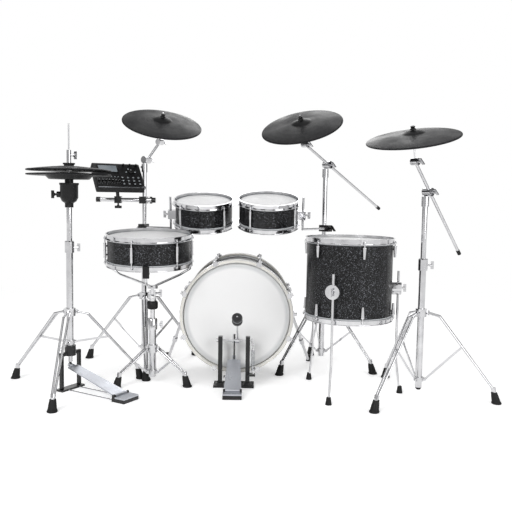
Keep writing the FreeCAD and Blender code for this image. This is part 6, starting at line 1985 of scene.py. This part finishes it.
CARRIED: tuple[Carried, ...] = (
    Carried("hihat_tripod", "chrome", Slot.HARDWARE),
    Carried(
        "hihat_pedal_frame",
        "enamel",
        Slot.BLACK_METAL,
        (
            Accent((-618, -278, 4), "chrome"),
            Accent((-587, -227, 4), "chrome"),
            Accent((-462, -337, 18), "plate"),
        ),
        0.7,
    ),
    Carried("hihat_footboard", "plate", Slot.BOARD, (), 0.6),
    Carried("hihat_upper_tube", "chrome", Slot.HARDWARE),
    Carried("hihat_controller", "control", Slot.CONTROLS, (), 0.7),
    Carried("hihat_rod", "chrome", Slot.HARDWARE, (Accent((-725, -179, 104), "web"),), 0.3),
    Carried(
        "hihat_clutch",
        "chrome",
        Slot.HARDWARE,
        (Accent((-725, -179, 920), "felt"), Accent((-725, -179, 926), "control")),
    ),
    Carried("snare_stand", "chrome", Slot.HARDWARE),
    Carried("snare_upper_tube", "chrome", Slot.HARDWARE, (Accent((-403, -63, 338), "rubber"),)),
    Carried(
        "snare_basket",
        "chrome",
        Slot.HARDWARE,
        (
            Accent((-590, 26, 517), "rubber"),
            Accent((-403, -242, 498), "rubber"),
            Accent((-265, 54, 519), "rubber"),
        ),
        0.6,
    ),
    Carried("kick_claws", "chrome", Slot.HARDWARE, (), 0.6),
    Carried("kick_spur_left", "chrome", Slot.HARDWARE, (Accent((-391, 372, 15), "rubber"),), 0.6),
    Carried("kick_spur_right", "chrome", Slot.HARDWARE, (Accent((305, 372, 15), "rubber"),), 0.6),
    Carried(
        "kick_pedal_frame",
        "enamel",
        Slot.BLACK_METAL,
        (
            Accent((-84, -64, 30), "chrome"),
            Accent((-80, -192, 4), "chrome"),
            Accent((-20, -192, 4), "chrome"),
            Accent((-50, -284, 20), "plate"),
        ),
        0.8,
    ),
    Carried("kick_footboard", "plate", Slot.BOARD, (), 0.6),
    Carried("kick_beater_shaft", "chrome", Slot.HARDWARE),
    Carried("kick_drive_link", "enamel", Slot.BLACK_METAL),
    Carried("left_stand", "chrome", Slot.HARDWARE),
    Carried("middle_stand", "chrome", Slot.HARDWARE),
    Carried("right_stand", "chrome", Slot.HARDWARE, (Accent((709, -216, 37), "rubber"),)),
    Carried(
        "left_post",
        "chrome",
        Slot.HARDWARE,
        (Accent((-493, 249, 655), "enamel"), Accent((-504, 210, 655), "enamel")),
        0.6,
    ),
    Carried(
        "middle_post",
        "chrome",
        Slot.HARDWARE,
        (Accent((358, 234, 664), "enamel"), Accent((389, 204, 664), "enamel")),
        0.6,
    ),
    Carried("right_post", "chrome", Slot.HARDWARE),
    Carried(
        "left_boom",
        "chrome",
        Slot.HARDWARE,
        (
            Accent((-503, 288, 940), "rubber"),
            Accent((-399, 188, 1138), "felt"),
            Accent((-396, 178, 1163), "rubber"),
        ),
        0.6,
    ),
    Carried(
        "middle_boom",
        "chrome",
        Slot.HARDWARE,
        (
            Accent((641, 470, 760), "rubber"),
            Accent((225, 77, 1126), "felt"),
            Accent((221, 67, 1150), "rubber"),
        ),
        0.6,
    ),
    Carried(
        "right_boom",
        "chrome",
        Slot.HARDWARE,
        (
            Accent((886, -94, 588), "rubber"),
            Accent((627, -322, 1049), "felt"),
            Accent((625, -326, 1076), "rubber"),
        ),
        0.6,
    ),
    *(Carried(side + "_tom_arm", "chrome", Slot.HARDWARE) for side in ("left", "right")),
    *(
        Carried(drum + "_hardware", "chrome", Slot.HARDWARE, (), 0.5)
        for drum in ("left_tom", "right_tom", "snare", "floor_tom")
    ),
    *(
        Carried("floor_tom_leg_" + leg, "chrome", Slot.HARDWARE, (Accent(tip, "rubber"),))
        for leg, tip in (
            ("front", (329, -344, 15)),
            ("rear", (270, 40, 15)),
            ("right", (645, -160, 15)),
        )
    ),
    *(
        Carried(drum + "_shell", "wrap", Slot.SHELL, (), 0.8)
        for drum in ("snare", "left_tom", "right_tom", "floor_tom")
    ),
    Carried(
        "kick_shell",
        "wrap",
        Slot.SHELL,
        (Accent((-286, 227, 258), "chrome"), Accent((200, 227, 258), "chrome")),
        0.8,
    ),
    Carried(
        "module_mount",
        "enamel",
        Slot.BLACK_METAL,
        (Accent((-570, 217, 781), "chrome"), Accent((-463, 237, 781), "control")),
        0.8,
    ),
    Carried(
        "module_case",
        "case",
        Slot.MODULE_BODY,
        (Accent((-641, 154, 921), "window"), Accent((-601, 169, 869), "enamel")),
        0.6,
    ),
)


@dataclass
class Studio:
    """The floor, the lamps, the surroundings and the camera."""

    camera_at: tuple[float, float, float] = (0.03589, -2.97056, 0.8115)
    camera_tilt: float = 84.95
    camera_roll: float = 0.96
    lens: float = 48.28
    floor_size: float = 40.0
    flags: tuple[tuple[float, float], ...] = ((0.38, 0.17), (0.92, 0.12), (1.5, 0.2), (2.3, 0.32))

    def camera(self) -> None:
        """Sets the camera at the photograph's place."""
        data = bpy.data.cameras.new("camera")
        data.lens = self.lens
        data.sensor_width = 36.0
        thing = bpy.data.objects.new("camera", data)
        lie = turning(self.camera_tilt, "X") @ turning(self.camera_roll, "Z")
        thing.matrix_world = Matrix.Translation(self.camera_at) @ lie
        bpy.context.scene.collection.objects.link(thing)
        bpy.context.scene.camera = thing

    @staticmethod
    def seen(wiring: Wiring) -> bpy.types.NodeSocket:
        """1 for what the camera sees directly, in metal or through glass."""
        path = wiring.node("ShaderNodeLightPath")
        mirrored = wiring.reckon(
            "MAXIMUM", path.outputs["Is Glossy Ray"], path.outputs["Is Transmission Ray"]
        )
        return wiring.reckon("MAXIMUM", path.outputs["Is Camera Ray"], mirrored)

    def floor(self) -> None:
        part = bmesh.new()
        bmesh.ops.create_grid(part, x_segments=8, y_segments=8, size=self.floor_size / 2)
        data = bpy.data.meshes.new("studio_floor")
        part.to_mesh(data)
        part.free()
        thing = bpy.data.objects.new("studio_floor", data)
        bpy.context.scene.collection.objects.link(thing)
        material = bpy.data.materials.new("pale_floor")
        material.use_nodes = True
        wiring = Wiring(material.node_tree)
        shader = material.node_tree.nodes["Principled BSDF"]
        far = wiring.node("ShaderNodeVectorMath", operation="LENGTH")
        wiring.feed(far.inputs[0], wiring.node("ShaderNodeTexCoord").outputs["Object"])
        away = wiring.spread(far.outputs["Value"], 0.0, 1.0, 1.4, 3.4)
        wiring.feed(
            shader.inputs["Base Color"],
            wiring.blend(away, (0.9, 0.9, 0.9, 1.0), (0.0, 0.0, 0.0, 1.0)),
        )
        shader.inputs["Roughness"].default_value = 1.0
        shader.inputs["Specular IOR Level"].default_value = 0.0
        shader.inputs["Emission Color"].default_value = (1.0, 1.0, 1.0, 1.0)
        glow = wiring.spread(away, 0.38, 1.0)
        wiring.feed(
            shader.inputs["Emission Strength"], wiring.reckon("MULTIPLY", self.seen(wiring), glow)
        )
        data.materials.append(material)

    def surroundings(self) -> None:
        """A white background over a plain soft light, with dark flags for the metal to show."""
        world = bpy.data.worlds.new("studio")
        bpy.context.scene.world = world
        world.use_nodes = True
        wiring = Wiring(world.node_tree)
        background = world.node_tree.nodes["Background"]
        parts = wiring.node("ShaderNodeSeparateXYZ")
        wiring.feed(parts.inputs[0], wiring.node("ShaderNodeTexCoord").outputs["Generated"])
        ahead = wiring.reckon("MULTIPLY", parts.outputs[1], -1.0)
        around = wiring.reckon("ABSOLUTE", wiring.reckon("ARCTAN2", parts.outputs[0], ahead))
        flags: object = 0.0
        for middle, half in self.flags:
            off = wiring.reckon("ABSOLUTE", wiring.reckon("SUBTRACT", around, middle))
            flag = wiring.spread(off, 1.0, 0.0, half * 0.75, half)
            flags = wiring.reckon("MAXIMUM", flags, flag)
        level = wiring.spread(wiring.reckon("ABSOLUTE", parts.outputs[2]), 1.0, 0.0, 0.8, 0.97)
        mirrored = wiring.node("ShaderNodeLightPath").outputs["Is Glossy Ray"]
        shown = wiring.reckon("MULTIPLY", wiring.reckon("MULTIPLY", flags, level), mirrored)
        wiring.feed(
            background.inputs["Color"], wiring.blend(shown, (1, 1, 1, 1), (0.02, 0.02, 0.025, 1))
        )
        wiring.feed(background.inputs["Strength"], wiring.spread(self.seen(wiring), 0.45, 1.0))

    @staticmethod
    def lamp(name: str, at: Sequence[float], target: Sequence[float], size: float, power: float) -> None:
        """Hangs one soft lamp.

        Args:
            name: Its name.
            at: Its place in metres.
            target: The point that it faces.
            size: The side of its square face.
            power: Its power in watts.
        """
        data = bpy.data.lights.new(name, "AREA")
        data.shape = "SQUARE"
        data.size = size
        data.energy = power
        thing = bpy.data.objects.new(name, data)
        way = Vector(target) - Vector(at)
        turned = way.to_track_quat("-Z", "Y").to_matrix().to_4x4()
        thing.matrix_world = Matrix.Translation(at) @ turned
        bpy.context.scene.collection.objects.link(thing)

    def build(self) -> None:
        """Builds the studio."""
        self.camera()
        self.floor()
        self.surroundings()
        self.lamp("key_lamp", (-2.0, -3.6, 2.6), (0, 0, 0.5), 1.8, 95.0)
        self.lamp("fill_lamp", (2.6, -3.2, 1.6), (0, 0, 0.6), 2.2, 60.0)
        self.lamp("back_lamp", (0.4, 3.0, 2.8), (0, 0, 0.6), 2.0, 40.0)
        bpy.context.scene.view_settings.view_transform = "Standard"


def drums() -> list[Drum]:
    """The four drums with mesh heads."""
    snare = kit_frame(-421, -62, 632, tilt=4)
    left = kit_frame(-208, 172, 779, tilt=13.5)
    right = kit_frame(86, 62, 788, tilt=14)
    floor_tom = kit_frame(421, -142, 634)
    tube = (103 / 2 - 32, 103 / 2, 103 / 2 + 32)
    return [
        Drum("snare", "snare_drum", snare, 175, 112, 6, 256.5, (27, 56, 85)),
        Drum("left_tom", "left_tom", left, 129, 103, 4, 225, tube),
        Drum("right_tom", "right_tom", right, 129, 103, 4, 235, tube),
        Drum(
            "floor_tom", "floor_standing_parts", floor_tom, 176, 313, 6, 280,
            (19, 294), band_radius=8.2,
        ),
    ]


def main() -> None:
    """Builds the dressed kit and its studio."""
    logging.basicConfig(level=logging.INFO, format="%(message)s")
    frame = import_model()
    jigs = Jigs()
    finishes = Finishes(Effects())
    for carried in CARRIED:
        thing = carried.dress(frame["nodes"][carried.node], finishes)
        LOG.info("dressed %s with %d faces", thing.name, len(thing.data.polygons))
    for drum in drums():
        drum.build(finishes, jigs)
        LOG.info("built the heads and keys of %s", drum.name)
    kick = KickDrum(kit_frame(-45, -48, 292, tilt=90))
    kick.build(finishes, jigs)
    LOG.info("built the kick drum's heads, hoops and keys")
    for name, x, y, z, tilt, roll in (
        ("left", -399.10, 184.04, 1151.14, 24.5, 10.5),
        ("middle", 221.01, 73.25, 1138.55, 26, -14),
        ("right", 623.96, -322.98, 1063.68, 14.5, -9.6),
    ):
        place = kit_frame(x, y, z, tilt=tilt, roll=roll)
        pad = CymbalPad(name + "_cymbal_pad", name + "_cymbal", name + "_pad", place)
        pad.build(finishes)
        LOG.info("built the %s cymbal pad", name)
    hihat = kit_frame(-727, -178)
    HiHatPads(hihat).build(finishes)
    LOG.info("built the hi-hat's pads")
    TripodFeet(
        (
            (-727, -178, 33, 313),
            (-405, -62, 98, 171),
            (-493, 258, 41, 302),
            (350, 241, 96.8, 253),
            (707, -215, 105, 306),
        )
    ).build(finishes, jigs)
    LOG.info("built the stands' boots")
    pedal = kit_frame(-52, -255, turn=90)
    KickPedal(pedal).build(finishes, jigs)
    LOG.info("built the kick pedal's pieces")
    module = kit_frame(-592, 150, 890, turn=29, tilt=48)
    SoundModule(module).build(finishes, jigs)
    LOG.info("built the sound module's pieces")
    Studio().build()


if __name__ == "__main__":
    main()
